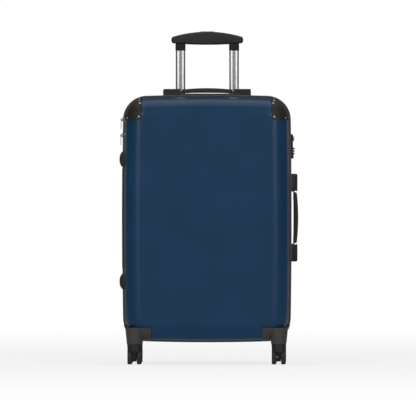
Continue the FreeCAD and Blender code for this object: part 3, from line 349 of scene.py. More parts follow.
def weld(piece, distance=0.02, outward=False):
    """Joins a mesh's points that lie together, and turns a closed form's faces outwards if asked."""
    work = bmesh.new()
    work.from_mesh(piece.data)
    bmesh.ops.remove_doubles(work, verts=work.verts, dist=distance * MM)
    if outward:
        bmesh.ops.recalc_face_normals(work, faces=work.faces)
    work.to_mesh(piece.data)
    work.free()
    return piece


def thicken(piece, thickness, offset=-1.0):
    """Gives a sheet its thickness, inwards from its outer side unless another offset is given."""
    solid = piece.modifiers.new("thickness", "SOLIDIFY")
    solid.thickness = thickness * MM
    solid.offset = offset
    return piece


# Polycarbonate and ABS, gloss: a deep even navy under a clear smooth skin. The sheet's drawing
# leaves a very slight orange peel, about 9 mm from swell to swell, and handling leaves hairlines, which
# are 0.1 mm apart and drawn at 1.1 mm.
shell_navy, tree, shader, at = start(
    "gloss_polycarbonate_navy",
    "#0C304C",
    0.34,
    IOR=1.5,
    Specular_IOR_Level=0.22,
    Coat_Weight=0.12,
    Coat_Roughness=0.2,
)
swell = add(tree, "ShaderNodeTexNoise", {"Vector": at, "Scale": 1 / (9 * MM), "Detail": 2.0})
drawn = add(tree, "ShaderNodeMapping", {"Vector": at, "Scale": (1.0, 1.0, 0.04), "Rotation": (0, 0.35, 0)})
hairline = add(
    tree, "ShaderNodeTexNoise", {"Vector": drawn.outputs[0], "Scale": 1 / (1.1 * MM), "Detail": 1.0}
)
cloud = add(tree, "ShaderNodeTexNoise", {"Vector": at, "Scale": 1 / (120 * MM), "Detail": 2.0})
tint = add(tree, "ShaderNodeValToRGB", {0: cloud.outputs["Fac"]}, stops=[(0.3, "#0C304C"), (0.7, "#0E3453")])
worn = add(tree, "ShaderNodeValToRGB", {0: hairline.outputs["Fac"]}, stops=[(0.62, 0.3), (0.8, 0.38)])
tree.links.new(tint.outputs[0], shader.inputs["Base Color"])
tree.links.new(worn.outputs[0], shader.inputs["Roughness"])
peel = add(tree, "ShaderNodeBump", {"Height": swell.outputs["Fac"], "Strength": 0.03, "Distance": 0.6 * MM})
tree.links.new(peel.outputs[0], shader.inputs["Normal"])

points, faces = tray(edge=40.0, bulge=1.6)
points[:, 1] *= -1
front_shell = thicken(weld(mesh_piece("front_shell_skin", points, faces, shell_navy)), SHEET)
settle(front_shell, "lid", "front_shell")

GROOVE_PITCH, GROOVES, GROOVE_HALF, GROOVE_DEEP = 30.0, 11, 2.5, 1.1
GROOVE_LOW, GROOVE_HIGH = 118.0, 588.0


def grooved(points):
    """Draws the back in along upright grooves: a raised cosine across each, fading out at its ends."""
    x, y, z = points.T
    beside = np.abs(x - GROOVE_PITCH * np.round(x / GROOVE_PITCH))
    number = np.abs(np.round(x / GROOVE_PITCH))
    across = np.where(beside < GROOVE_HALF, 0.5 + 0.5 * np.cos(math.pi * beside / GROOVE_HALF), 0)
    ends = np.clip(np.minimum(z - GROOVE_LOW, GROOVE_HIGH - z) / 4, 0, 1)
    deep = GROOVE_DEEP * across * ends * (number <= GROOVES // 2) * (y > HALF_DEPTH - 0.5)
    return np.stack([x, y - deep, z], 1)


points, faces = tray(edge=24.0, across=240)
middle = points[faces].mean(1)
x, y, z = middle.T
in_tub = (np.abs(x) < TUB_HALF) & (y > TUB_START) & (y < TUB_END) & (z > TUB_LEVEL)
in_lock = (x > SIDE_WALL) & (np.abs(y - LOCK_Y) < LOCK_CUT_Y) & (np.abs(z - LOCK_Z) < LOCK_CUT_Z)
rear_shell = mesh_piece("rear_shell_skin", grooved(points), faces[~(in_tub | in_lock)][:, ::-1], shell_navy)
settle(thicken(weld(rear_shell), SHEET), "rear_half", "rear_shell")

# ---------------------------------------------------------------- zip
# A band is sewn and bonded round each rim: a firm vinyl-faced piping that stands 3.5 mm proud, with
# the zip's tape and its nylon coil let into its inner edge, where the two halves meet.


def outline(pitch, shift):
    """Even steps along the rim, shifted by part of a step: positions, tangents and normals in x and z."""
    fine = rim(0.0, CORNER, rim_directions(320, 420))[0]
    closed = np.concatenate([fine, fine[:1]])
    length = np.concatenate([[0], np.cumsum(np.hypot(*np.diff(closed, axis=0).T))])
    count = int(round(length[-1] / pitch))
    s = (np.arange(count) + shift) * length[-1] / count
    spot = np.stack([np.interp(s, length, closed[:, k]) for k in (0, 1)], 1)
    ahead = np.stack([np.interp((s + 0.5) % length[-1], length, closed[:, k]) for k in (0, 1)], 1)
    tangent = ahead - spot
    tangent /= np.hypot(*tangent.T)[:, None]
    normal = np.stack([tangent[:, 1], -tangent[:, 0]], 1)
    return spot, tangent, normal


# Vinyl-faced piping, calendered: dark taupe grey with a soft shine on its edges and a fine grain of
# 0.4 mm, drawn at 1.4 mm.
piping, tree, shader, at = start("calendered_vinyl_piping", "#45443F", 0.34, IOR=1.5)
grain = add(tree, "ShaderNodeTexNoise", {"Vector": at, "Scale": 1 / (1.4 * MM), "Detail": 3.0})
tone = add(
    tree, "ShaderNodeValToRGB", {0: grain.outputs["Fac"]}, stops=[(0.35, "#3B3A36"), (0.65, "#4A4843")]
)
tree.links.new(tone.outputs[0], shader.inputs["Base Color"])
raised = add(
    tree, "ShaderNodeBump", {"Height": grain.outputs["Fac"], "Strength": 0.35, "Distance": 0.15 * MM}
)
tree.links.new(raised.outputs[0], shader.inputs["Normal"])

# The band's section as (out, depth): a flat back, a rounded outer face and the step that the coil lies in.
SECTION = np.array(
    [(-3.3, 0.4), (-3.3, 6.9), (2.6, 6.9), (3.2, 6.6), (3.45, 6.0), (3.45, 4.0), (3.2, 3.4), (2.7, 3.1),
     (1.9, 2.9), (1.5, 2.6), (1.5, 0.4)]
)
BAND_STEPS = (64, 84)
for side, sign, body in (("front", -1, "lid"), ("rear", 1, "rear_half")):
    rings = np.stack([rim(-out, CORNER + out, rim_directions(*BAND_STEPS))[0] for out in SECTION[:, 0]])
    depth = np.broadcast_to((sign * SECTION[:, 1])[:, None], rings.shape[:2])
    band = np.stack([rings[..., 0], depth, rings[..., 1] + MIDDLE], -1).reshape(-1, 3)
    faces = grid_faces(len(SECTION), rings.shape[1], close_rows=True, close_columns=True)
    band = weld(mesh_piece(f"zip_band_{side}", band, faces, piping), outward=True)
    settle(band, body, f"zip_tape_{side}")

FINE = 0.001  # mm within which the points of a small piece are joined

# Nylon coil, extruded monofilament: near-black and slightly translucent at its edges, a small hard shine.
coil, tree, shader, at = start("nylon_monofilament_coil", "#23231F", 0.38, IOR=1.53)
fleck = add(tree, "ShaderNodeTexNoise", {"Vector": at, "Scale": 1 / (3 * MM)})
tone = add(tree, "ShaderNodeValToRGB", {0: fleck.outputs["Fac"]}, stops=[(0.3, "#1C1C1A"), (0.7, "#2B2A27")])
tree.links.new(tone.outputs[0], shader.inputs["Base Color"])
# one tooth as (along, out, depth): a lug that narrows outwards; real ones are 1.3 mm apart, and these
# are drawn at 2.2 mm
TOOTH_PITCH = 2.2
along, out, deep = np.array(
    [
        (a * w, o, d)
        for o, w in ((1.3, 0.62), (2.5, 0.42))
        for a, d in ((-1, 0.15), (1, 0.15), (1, 2.3), (-1, 2.3))
    ]
).T
lug_faces = np.array([(0, 1, 2, 3), (7, 6, 5, 4), (0, 4, 5, 1), (1, 5, 6, 2), (2, 6, 7, 3), (3, 7, 4, 0)])
for side, sign, body, shift in (("front", -1, "lid", 0.0), ("rear", 1, "rear_half", 0.5)):
    spot, tangent, normal = outline(TOOTH_PITCH, shift)
    flat = spot[:, None] + tangent[:, None] * along[:, None] + normal[:, None] * out[:, None]
    teeth = np.stack([flat[..., 0], np.broadcast_to(sign * deep, flat.shape[:2]), flat[..., 1] + MIDDLE], -1)
    faces = (lug_faces[None] + 8 * np.arange(len(spot))[:, None, None]).reshape(-1, 4)
    row = mesh_piece(f"zip_teeth_{side}", teeth.reshape(-1, 3), faces, coil, smooth=False)
    settle(weld(row, FINE, outward=True), body, f"zip_tape_{side}")

# ---------------------------------------------------------------- hinge tape
# A strip of woven polyester, 20 mm wide, stitched over the two bands along the left side. It is the
# hinge: on the case it folds about its middle as the lid opens; this strip is drawn flat, as when the
# case is closed, and doesn't fold.


def rows_of_thread(name, dark, pale, pitch, roughness, sheen):
    """A woven finish: two crossing sine waves multiplied, over a cloudy tone.

    A wave's period is 0.314 over its scale and covers two threads, one up and one down, so that the
    scale of threads with a pitch in mm is 1 over 6.28 pitches."""
    material, tree, shader, at = start(name, pale, roughness, Sheen_Weight=sheen, Sheen_Roughness=0.4)
    wave = {"Vector": at, "Scale": 1 / (6.28 * pitch * MM), "Distortion": 0.6}
    warp = add(tree, "ShaderNodeTexWave", wave, bands_direction="Z", wave_profile="SIN")
    weft = add(tree, "ShaderNodeTexWave", wave, bands_direction="DIAGONAL", wave_profile="SIN")
    crossing = add(
        tree, "ShaderNodeMath", {0: warp.outputs["Fac"], 1: weft.outputs["Fac"]}, operation="MULTIPLY"
    )
    cloud = add(tree, "ShaderNodeTexNoise", {"Vector": at, "Scale": 1 / (22 * MM), "Detail": 3.0})
    both = add(tree, "ShaderNodeMath", {0: crossing.outputs[0], 1: cloud.outputs["Fac"]}, operation="ADD")
    tone = add(tree, "ShaderNodeValToRGB", {0: both.outputs[0]}, stops=[(0.35, dark), (0.95, pale)])
    tree.links.new(tone.outputs[0], shader.inputs["Base Color"])
    raised = add(
        tree, "ShaderNodeBump", {"Height": crossing.outputs[0], "Strength": 0.6, "Distance": 0.3 * MM}
    )
    tree.links.new(raised.outputs[0], shader.inputs["Normal"])
    return material


# Polyester tape, woven: dull black with a raised rib; threads of 0.5 mm, drawn at 1.2 mm so that they show.
hinge_weave = rows_of_thread("woven_polyester_tape", "#161614", "#33322F", 1.2, 0.85, 0.25)
TAPE_HALF, TAPE_LOW, TAPE_HIGH = 9.8, 235.2, 479.8
y, z = np.meshgrid(np.linspace(-TAPE_HALF, TAPE_HALF, 21), np.linspace(TAPE_LOW, TAPE_HIGH, 120))
wall_x = np.interp(z, [235, MIDDLE, 480], [-207.75, -208.25, -207.75])
# the tape lies 0.35 mm off the bands, and 0.25 mm more at its fold and its two edges, where it is hemmed
x = wall_x - 0.35 - 0.25 * np.cos(math.pi * y / TAPE_HALF) ** 8
spots = np.stack([x, y, z], -1).reshape(-1, 3)
strip = mesh_piece("hinge_tape_strip", spots, grid_faces(*x.shape), hinge_weave)
thicken(strip, 0.9, offset=1.0)
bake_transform(strip)
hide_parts("hinge_tape")

# ---------------------------------------------------------------- linings
# Woven polyester cloth bonded to thin foam, sewn round each rim and tacked to the shell. The rear
# one is raised over the trolley's tubes, its tub and its foot.

# Polyester lining, plain weave: warm grey with a slight sheen; threads of 0.3 mm, drawn at 1.6 mm.
lining_cloth = rows_of_thread("woven_polyester_lining", "#6E6A63", "#8D887F", 1.6, 0.7, 0.35)


def slack(points):
    """Small soft folds: three crossing sine waves, strongest where the cloth isn't tacked at its edges."""
    x, y, z = points.T
    wave = np.sin(x / 31 + z / 47) + 0.7 * np.sin(z / 23 - x / 71 + 1) + 0.5 * np.sin((x + z) / 17 + 2)
    free = np.clip((y - 12) / 40, 0, 1)
    return np.stack([x, y - 0.35 * (wave + 2.2) * free, z], 1)


CLOTH = 0.9  # mm, with its foam
LINING_GAP, LINING_BACK = 3.1, 123.3  # how far it lies inside the shells, and how deep it may reach
LEG_X = 66.0  # the trolley's legs stand this far from the middle


def over_trolley(points):
    """Draws the rear lining in over the tubes, the tub and the foot: the least of the covers' depths."""
    x, y, z = points.T
    step = lambda t: np.clip(t, 0, 1) ** 2 * (3 - 2 * np.clip(t, 0, 1))
    tubes = step((24 - np.abs(np.abs(x) - LEG_X)) / 5) * step((z - 56) / 6)
    tub = step((103 - np.abs(x)) / 5) * step((z - 601) / 6)
    foot = step((96 - np.abs(x)) / 5) * step((96 - z) / 5)
    deepest = np.minimum(LINING_BACK - 47.1 * tub, LINING_BACK - 41.6 * np.maximum(tubes, foot))
    return np.stack([x, np.where(y > 60, np.minimum(y, deepest), y), z], 1)


points, faces = tray(edge=37.0, grow=-LINING_GAP, across=100, upright=80)
points = slack(points)
points[:, 1] *= -1
inner = thicken(weld(mesh_piece("lining_front_cloth", points, faces, lining_cloth)), CLOTH)
settle(inner, "lid", "lining_front")
points, faces = tray(edge=21.0, grow=-LINING_GAP, across=160, upright=120)
points = over_trolley(slack(points))
middle = points[faces].mean(1)
x, y, z = middle.T
at_lock = (x > SIDE_WALL) & (np.abs(y - LOCK_Y) < 13) & (np.abs(z - LOCK_Z) < 30)
inner = mesh_piece("lining_rear_cloth", points, faces[~at_lock][:, ::-1], lining_cloth)
settle(thicken(weld(inner), CLOTH), "rear_half", "lining_rear")

# Lid pocket: a flat bag of open mesh with a bound top edge, sewn to the lid's lining on three sides.
# Polyester mesh, knitted: grey, with holes of 1 mm, drawn at 3 mm.
mesh_cloth, tree, shader, at = start("knitted_polyester_mesh", "#4B4A47", 0.8, Sheen_Weight=0.3)
holes = add(tree, "ShaderNodeTexVoronoi", {"Vector": at, "Scale": 1 / (3 * MM)})
tone = add(
    tree, "ShaderNodeValToRGB", {0: holes.outputs["Distance"]}, stops=[(0.25, "#2A2A28"), (0.5, "#5A5955")]
)
tree.links.new(tone.outputs[0], shader.inputs["Base Color"])
raised = add(
    tree, "ShaderNodeBump", {"Height": holes.outputs["Distance"], "Strength": 0.5, "Distance": 0.4 * MM}
)
tree.links.new(raised.outputs[0], shader.inputs["Normal"])
POCKET_HALF, POCKET_LOW, POCKET_HIGH = 159.5, 112.5, 371.5
x, z = np.meshgrid(np.linspace(-POCKET_HALF, POCKET_HALF, 90), np.linspace(POCKET_LOW, POCKET_HIGH, 74))
loose = np.sin(np.pi * (x + POCKET_HALF) / (2 * POCKET_HALF)) * np.clip((z - 112) / 200, 0, 1)
# it hangs away from the lining most at its middle and top, and its binding above 362 stands proud
y = -121.3 + loose * (1.1 + 0.5 * np.sin(x / 19) * np.sin(z / 33)) + 0.9 * (z > 362)
spots = np.stack([x, y, z], -1).reshape(-1, 3)
pocket = mesh_piece("lid_pocket_cloth", spots, grid_faces(*x.shape, flip=True), mesh_cloth)
settle(thicken(pocket, CLOTH), "lid", "lid_pocket")

# ---------------------------------------------------------------- packing straps
# Two crossed straps that hold the clothes down: four legs of nylon webbing, 25 mm wide, sewn to the
# rear lining's sides and run to a moulded buckle in the middle.

# Nylon webbing, woven: charcoal, with ribs of 1.5 mm, drawn at 2.4 mm.
webbing = rows_of_thread("woven_nylon_webbing", "#1B1C1E", "#3C3D40", 2.4, 0.7, 0.3)
STRAP_HALF, STRAP_RISE = 12.3, 150
AT_BUCKLE, AT_WALL = 29.5, 196.2
for name, way in (("left", -1), ("right", 1)):
    for level, rise in (("lower", -1), ("upper", 1)):
        t, v = np.meshgrid(np.linspace(0, 1, 60), np.linspace(-STRAP_HALF, STRAP_HALF, 9), indexing="ij")
        head, tail = np.array([AT_BUCKLE, MIDDLE]), np.array([AT_WALL, MIDDLE + rise * STRAP_RISE])
        run = (tail - head) / np.hypot(*(tail - head))
        spot = head + t[..., None] * (tail - head) + v[..., None] * np.array([-run[1], run[0]])
        x = way * np.clip(spot[..., 0], 27, 196.4)
        y = 16.6 + 0.35 * np.sin(math.pi * t) * np.sin(9 * t)
        spots = np.stack([x, y, spot[..., 1]], -1).reshape(-1, 3)
        leg = mesh_piece(f"strap_{name}_{level}", spots, grid_faces(*x.shape, flip=way < 0), webbing)
        settle(thicken(leg, 1.1, offset=0.0), "rear_half", "packing_straps")

# ---------------------------------------------------------------- mouldings: buckle, guards, housings
# Injection-moulded ABS with a spark-eroded grain. The guards are riveted over the four upper corners,
# and each lower corner has a housing that takes a caster's kingpin.


SMOOTH_TO, ROUNDED_FROM = math.radians(35), math.radians(40)


def finished(node, material, round_off):
    """A solid part brought to its finished form: its doubles merged, its sharp edges rounded off, and
    its shading smooth except over the edges sharper than an angle. It stays on the same body."""
    source = frame["nodes"][node]
    piece = bpy.data.objects.new(f"{node}_finished", source.data.copy())
    bpy.context.scene.collection.objects.link(piece)
    weld(piece, 0.004)
    piece.data.materials.clear()
    piece.data.materials.append(material)
    piece.data.polygons.foreach_set("use_smooth", np.ones(len(piece.data.polygons), bool))
    piece.data.set_sharp_from_angle(angle=SMOOTH_TO)
    if round_off:
        bevel = piece.modifiers.new("rounded_edges", "BEVEL")
        bevel.width = round_off * MM
        bevel.segments = 2
        bevel.limit_method = "ANGLE"
        bevel.angle_limit = ROUNDED_FROM
        bevel.harden_normals = True
    return settle(piece, source["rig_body"], node)


def pebbled(name, dark, pale, grain, roughness, height, shine=0.3):
    """A moulded plastic with an eroded grain of so many mm: noise in its tone, its height and its gloss."""
    material, tree, shader, at = start(name, pale, roughness, IOR=1.53, Specular_IOR_Level=shine)
    noise = {"Vector": at, "Scale": 1 / (grain * MM), "Detail": 3.0, "Roughness": 0.6}
    pits = add(tree, "ShaderNodeTexNoise", noise)
    tone = add(tree, "ShaderNodeValToRGB", {0: pits.outputs["Fac"]}, stops=[(0.35, dark), (0.7, pale)])
    gloss = add(
        tree, "ShaderNodeMapRange", {0: pits.outputs["Fac"], 3: roughness + 0.08, 4: roughness - 0.05}
    )
    raised = add(
        tree, "ShaderNodeBump", {"Height": pits.outputs["Fac"], "Strength": 0.5, "Distance": height * MM}
    )
    tree.links.new(tone.outputs[0], shader.inputs["Base Color"])
    tree.links.new(gloss.outputs[0], shader.inputs["Roughness"])
    tree.links.new(raised.outputs[0], shader.inputs["Normal"])
    return material


# ABS, moulded with an eroded grain: warm black and low in gloss; the grain of 0.6 mm is drawn at 4 mm.
guard_black = pebbled("moulded_abs_grained_black", "#0E0D0C", "#2B2926", 4.0, 0.48, 0.4)
# The housings are of the same ABS, polished by knocks: smoother, with a broad soft shine, and their
# grain of 0.6 mm is drawn at 2.4 mm.
housing_black = pebbled("moulded_abs_worn_black", "#2B2A28", "#403E3B", 2.4, 0.36, 0.12, shine=0.6)
# Polypropylene, moulded smooth: soft black, a little uneven in tone; its grain of 0.5 mm is drawn at 2.5 mm.
smooth_black = pebbled("moulded_polypropylene_black", "#171615", "#201F1E", 2.5, 0.36, 0.04)

finished("strap_buckle", smooth_black, round_off=0.5)
for side in ("front", "rear"):
    for hand in ("left", "right"):
        finished(f"guard_{side}_{hand}", guard_black, round_off=0.35)
        finished(f"housing_{side}_{hand}", housing_black, round_off=0.6)

# ---------------------------------------------------------------- rivets
# Dome-headed rivets of nickel-plated steel, six to a guard, set through it and the shell with their
# tails closed inside.


def plated(name, colour, roughness, scratch):
    """A bright metal: its roughness broken by fine scratches of so many mm, drawn out along one way."""
    material, tree, shader, at = start(name, colour, roughness, Metallic=1.0)
    drawn = add(tree, "ShaderNodeMapping", {"Vector": at, "Scale": (1.0, 1.0, 0.1)})
    lines = add(
        tree, "ShaderNodeTexNoise", {"Vector": drawn.outputs[0], "Scale": 1 / (scratch * MM), "Detail": 2.0}
    )
    gloss = add(tree, "ShaderNodeMapRange", {0: lines.outputs["Fac"], 3: roughness * 0.7, 4: roughness * 1.3})
    tree.links.new(gloss.outputs[0], shader.inputs["Roughness"])
    raised = add(
        tree, "ShaderNodeBump", {"Height": lines.outputs["Fac"], "Strength": 0.12, "Distance": 0.05 * MM}
    )
    tree.links.new(raised.outputs[0], shader.inputs["Normal"])
    return material


# Nickel plate on steel, polished: a bright, slightly warm mirror with hair scratches 0.1 mm apart, drawn
# at 0.8 mm.
nickel = plated("polished_nickel_plate", "#D8D6D2", 0.16, 0.8)
for side in ("front", "rear"):
    finished(f"rivets_{side}", nickel, round_off=0)

# ---------------------------------------------------------------- casters
# Four swivelling casters: a moulded nylon fork on a steel kingpin, and a steel axle through two wheels,
# each a hub of nylon with a tyre of polyurethane moulded on it.

# Nylon, moulded: satin black with a faint flow texture 3 mm across.
fork_nylon = pebbled("moulded_nylon_satin_black", "#1D1D1C", "#2A2A29", 3.0, 0.34, 0.05)
# Zinc plate on steel, bright dipped: a greyer mirror than the nickel, its scratches drawn at 1.2 mm.
zinc = plated("bright_zinc_plated_steel", "#B9BCC0", 0.28, 1.2)
for side in ("front", "rear"):
    for hand in ("left", "right"):
        finished(f"fork_{side}_{hand}", fork_nylon, round_off=0.5)
        finished(f"caster_steel_{side}_{hand}", zinc, round_off=0.2)

# Polyurethane, cast: dull black, greyed by dust on its tread, with moulding marks 2 mm apart.
tyre_rubber = pebbled("cast_polyurethane_black", "#20201F", "#333330", 2.0, 0.55, 0.08)
# Nylon hub, moulded: a shade greyer than the tyre and smoother, with a faint mottle 2.5 mm across.
hub_nylon = pebbled("moulded_nylon_hub_grey", "#292929", "#383837", 2.5, 0.38, 0.03)
WHEEL, HUB, BORE, AROUND = 22.5, 16.0, 2.56, 96  # radii in mm, and steps round
CASTER_X, CASTER_Y, TRAIL, LANE = 177.0, 104.0, 14.0, 11.45  # kingpins, and axle and wheels from them
BROAD, SHOULDER, TREAD_EDGE = 5.75, 2.8, 19.7


def wheel_points(way):
    """A wheel about its axle as rings: (across, radius) pairs turned about x, its outer face on side "way".

    Its middle is recessed for the axle's head. Six spokes stand on the outer face: between them the web
    of the hub is sunk by a smooth wave of the angle, raised to a power so that the spokes are narrow.
    """
    outer = [(3.35, BORE), (3.35, 4.9), (5.7, 5.0), (BROAD, 6.2), (5.6, 7.0), (5.4, 8.0), (5.3, 10.0),
             (5.3, 12.0), (5.4, 14.0), (5.6, 15.2), (BROAD, 15.6), (BROAD, HUB), (5.6, 16.4), (BROAD, 17.0)]
    turn = np.linspace(0, math.pi / 2, 7)
    tread = [(BROAD - SHOULDER * (1 - math.cos(a)), TREAD_EDGE + SHOULDER * math.sin(a)) for a in turn]
    inner = [(-across, radius) for across, radius in tread[::-1]]
    inner += [(-BROAD, 16.4), (-5.6, HUB), (-5.7, 15.4), (-5.7, 6.0), (-BROAD, BORE)]
    across, radius = np.array(outer + tread + inner).T
    theta = np.linspace(0, 2 * math.pi, AROUND, endpoint=False)
    spoke = (0.5 + 0.5 * np.cos(6 * theta)) ** 3
    sunk = np.exp(-(((radius - 11) / 3.4) ** 4)) * (across > 0)
    depth = across[:, None] - 1.9 * sunk[:, None] * (1 - spoke[None, :])
    return np.stack([way * depth, radius[:, None] * np.cos(theta), radius[:, None] * np.sin(theta)], -1)


for side, sy in (("front", -1), ("rear", 1)):
    for hand, sx in (("left", -1), ("right", 1)):
        for lane, way in (("left", -1), ("right", 1)):
            axle = sy * CASTER_Y + TRAIL
            points = wheel_points(way) + np.array([sx * CASTER_X + way * LANE, axle, WHEEL])
            faces = grid_faces(len(points), AROUND, close_rows=True, close_columns=True)
            node = f"wheel_{side}_{hand}_{lane}"
            wheel = mesh_piece(f"{node}_turned", points.reshape(-1, 3), faces, tyre_rubber)
            weld(wheel, FINE, outward=True)
            wheel.data.materials.append(hub_nylon)
            centre = np.array([f.center[1:3] for f in wheel.data.polygons]) / MM - [axle, WHEEL]
            wheel.data.polygons.foreach_set("material_index", (np.hypot(*centre.T) < HUB).astype(int))
            wheel.data.set_sharp_from_angle(angle=math.radians(40))
            settle(wheel, node, node)

# ---------------------------------------------------------------- trolley
# Two telescopic legs of extruded aluminium, each of three nested tubes, under a grip of moulded ABS.
# A tub in the case's top takes the stowed grip, and a foot bar holds the outer tubes' lower ends.


def oval(width, depth, count=64):
    """A tube's section as (x, y): a flat oval whose broad faces fall away as the square of the distance
    from their middle, and whose narrow sides close with a rounder curve (a superellipse)."""
    t = np.linspace(0, 2 * math.pi, count, endpoint=False)
    c, s = np.cos(t), np.sin(t)
    x = width / 2 * np.sign(c) * np.abs(c) ** 0.72
    y = depth / 2 * np.sign(s) * np.abs(s) ** 0.5
    return np.stack([x, y * (1 - 0.16 * (2 * x / width) ** 2)], 1)


def tube(centre, outside, wall, low, high):
    """A drawn tube between two heights: its outer and inner sections as rings, joined at both ends."""
    out, within = oval(*outside), oval(outside[0] - 2 * wall, outside[1] - 2 * wall)
    eased, lip = out * 0.99, 0.4
    levels = [(out, low + lip), (out, high - lip), (eased, high), (within, high), (within, low), (eased, low)]
    rings = [np.column_stack([section + centre, np.full(len(section), z)]) for section, z in levels]
    return np.concatenate(rings), grid_faces(len(levels), len(out), close_rows=True, close_columns=True)


# Aluminium, extruded, brushed along its length and clear anodised: pale silver with upright hairlines
# 0.3 mm apart, drawn at 0.8 mm; the brushing stretches highlights across the tube.
brushed, tree, shader, at = start(
    "brushed_anodised_aluminium", "#B4B6B8", 0.34, Metallic=1.0, Anisotropic=0.5, Anisotropic_Rotation=0.25
)
drawn = add(tree, "ShaderNodeMapping", {"Vector": at, "Scale": (1.0, 1.0, 0.006)})
lines = add(tree, "ShaderNodeTexNoise", {"Vector": drawn.outputs[0], "Scale": 1 / (0.8 * MM), "Detail": 2.0})
tone = add(tree, "ShaderNodeValToRGB", {0: lines.outputs["Fac"]}, stops=[(0.3, "#ADAFB1"), (0.7, "#BCBEC0")])
gloss = add(tree, "ShaderNodeMapRange", {0: lines.outputs["Fac"], 3: 0.3, 4: 0.38})
raised = add(
    tree, "ShaderNodeBump", {"Height": lines.outputs["Fac"], "Strength": 0.03, "Distance": 0.05 * MM}
)
tree.links.new(tone.outputs[0], shader.inputs["Base Color"])
tree.links.new(gloss.outputs[0], shader.inputs["Roughness"])
tree.links.new(raised.outputs[0], shader.inputs["Normal"])

LEG_Y, TUBE_WALL = 96.0, 1.0
# The stowed grip's collars come to rest on the middle tubes' ends, so those end 0.1 mm short of them.
for name, outside, low, high in (
    ("inner", (23.5, 13.0), 380.0, 786.0),
    ("middle", (26.5, 16.0), 150.0, 618.4),
    ("outer", (29.5, 19.0), 74.0, 616.1),
):
    left, faces = tube((-LEG_X, LEG_Y), outside, TUBE_WALL, low, high)
    right = tube((LEG_X, LEG_Y), outside, TUBE_WALL, low, high)[0]
    points, faces = np.concatenate([left, right]), np.concatenate([faces, faces + len(left)])
    legs = weld(mesh_piece(f"{name}_tubes_drawn", points, faces, brushed), FINE, outward=True)
    legs.data.set_sharp_from_angle(angle=math.radians(50))
    node = f"trolley_{name}_tubes"
    settle(legs, frame["nodes"][node]["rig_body"], node)

finished("trolley_tub", smooth_black, round_off=0.5)
finished("trolley_foot_bar", smooth_black, round_off=0.5)
finished("trolley_lock_blocks", smooth_black, round_off=0.3)
finished("release_rods", zinc, round_off=0.2)
finished("release_button", smooth_black, round_off=0.4)

# Thermoplastic rubber over ABS, moulded: warm charcoal and matt; its grain of 0.5 mm is drawn at 1.6 mm.
soft_grip = pebbled("moulded_soft_touch_grip", "#1C1B19", "#272623", 1.6, 0.46, 0.1)
finished("trolley_grip", soft_grip, round_off=0.6)

# ---------------------------------------------------------------- carry handles
# On the top and the right side: two moulded brackets on a base plate, screwed through the shell, and
# a padded arched grip on a spring-steel strap that slides out of them.

# Rubber, moulded: softer and paler than the brackets, its grain of 0.6 mm drawn at 2 mm.
pad_rubber = pebbled("moulded_rubber_pad_grey", "#242322", "#32312F", 2.0, 0.5, 0.1)
finished("handle_brackets", smooth_black, round_off=0.8)
finished("top_handle_grip", pad_rubber, round_off=0.4)
finished("side_handle_grip", pad_rubber, round_off=0.4)

# ---------------------------------------------------------------- combination lock
# A moulded housing let into the right side's wall, with three numbered dials on one pin, a press
# button, a key cylinder and two slots that take the tips of the zip pulls.

# ABS, moulded: satin black with a slight shine, its grain of 0.4 mm drawn at 1.8 mm.
lock_black = pebbled("moulded_abs_satin_black", "#161514", "#1F1E1C", 1.8, 0.32, 0.04)
finished("lock_housing", lock_black, round_off=0.35)
finished("lock_button", nickel, round_off=0.2)
finished("lock_cylinder", nickel, round_off=0.15)

# Dials of moulded nylon: dark, with ten finger notches at both rims and white numbers.
dial_nylon = pebbled("moulded_nylon_dial_black", "#1F1E1D", "#2A2928", 1.2, 0.35, 0.03)
# Pad-printed ink, white and semi-matt, a little uneven in its cover.
ink, tree, shader, at = start("pad_printed_white_ink", "#E4E2DC", 0.5)
cover = add(tree, "ShaderNodeTexNoise", {"Vector": at, "Scale": 1 / (0.6 * MM), "Detail": 2.0})
tone = add(tree, "ShaderNodeValToRGB", {0: cover.outputs["Fac"]}, stops=[(0.3, "#C9C6BE"), (0.5, "#E9E7E1")])
tree.links.new(tone.outputs[0], shader.inputs["Base Color"])
DIAL_X, DIAL_MID, DIAL_PITCH, DIAL_RADIUS, DIAL_STEPS = 208.0, 522.6, 5.9, 7.5, 120
FIGURE_HIGH, INK = 2.9, 0.03  # mm, the size of a figure and how far it stands off the drum


def dial(height):
    """A dial as rings about its pin: a drum whose two rims are notched by the fifth power of a cosine
    wave of ten periods, so that the ten lands between the notches are broad."""
    profile = np.array([(-2.2, 1.57), (-2.2, 6.9), (-2.0, 7.3), (-1.3, 7.35), (-1.0, 7.5), (1.0, 7.5),
                        (1.3, 7.35), (2.0, 7.3), (2.2, 6.9), (2.2, 1.57)])
    theta = np.linspace(0, 2 * math.pi, DIAL_STEPS, endpoint=False)
    notch = (0.5 + 0.5 * np.cos(10 * theta + math.pi)) ** 5
    at_rim = (np.abs(profile[:, 0]) > 1.1) & (profile[:, 1] > 6)
    radius = profile[:, 1][:, None] - 0.55 * notch[None, :] * at_rim[:, None]
    points = np.stack([DIAL_X + radius * np.cos(theta), LOCK_Y + radius * np.sin(theta),
                       np.broadcast_to((height + profile[:, 0])[:, None], radius.shape)], -1)
    return points.reshape(-1, 3), grid_faces(len(profile), DIAL_STEPS, close_rows=True, close_columns=True)


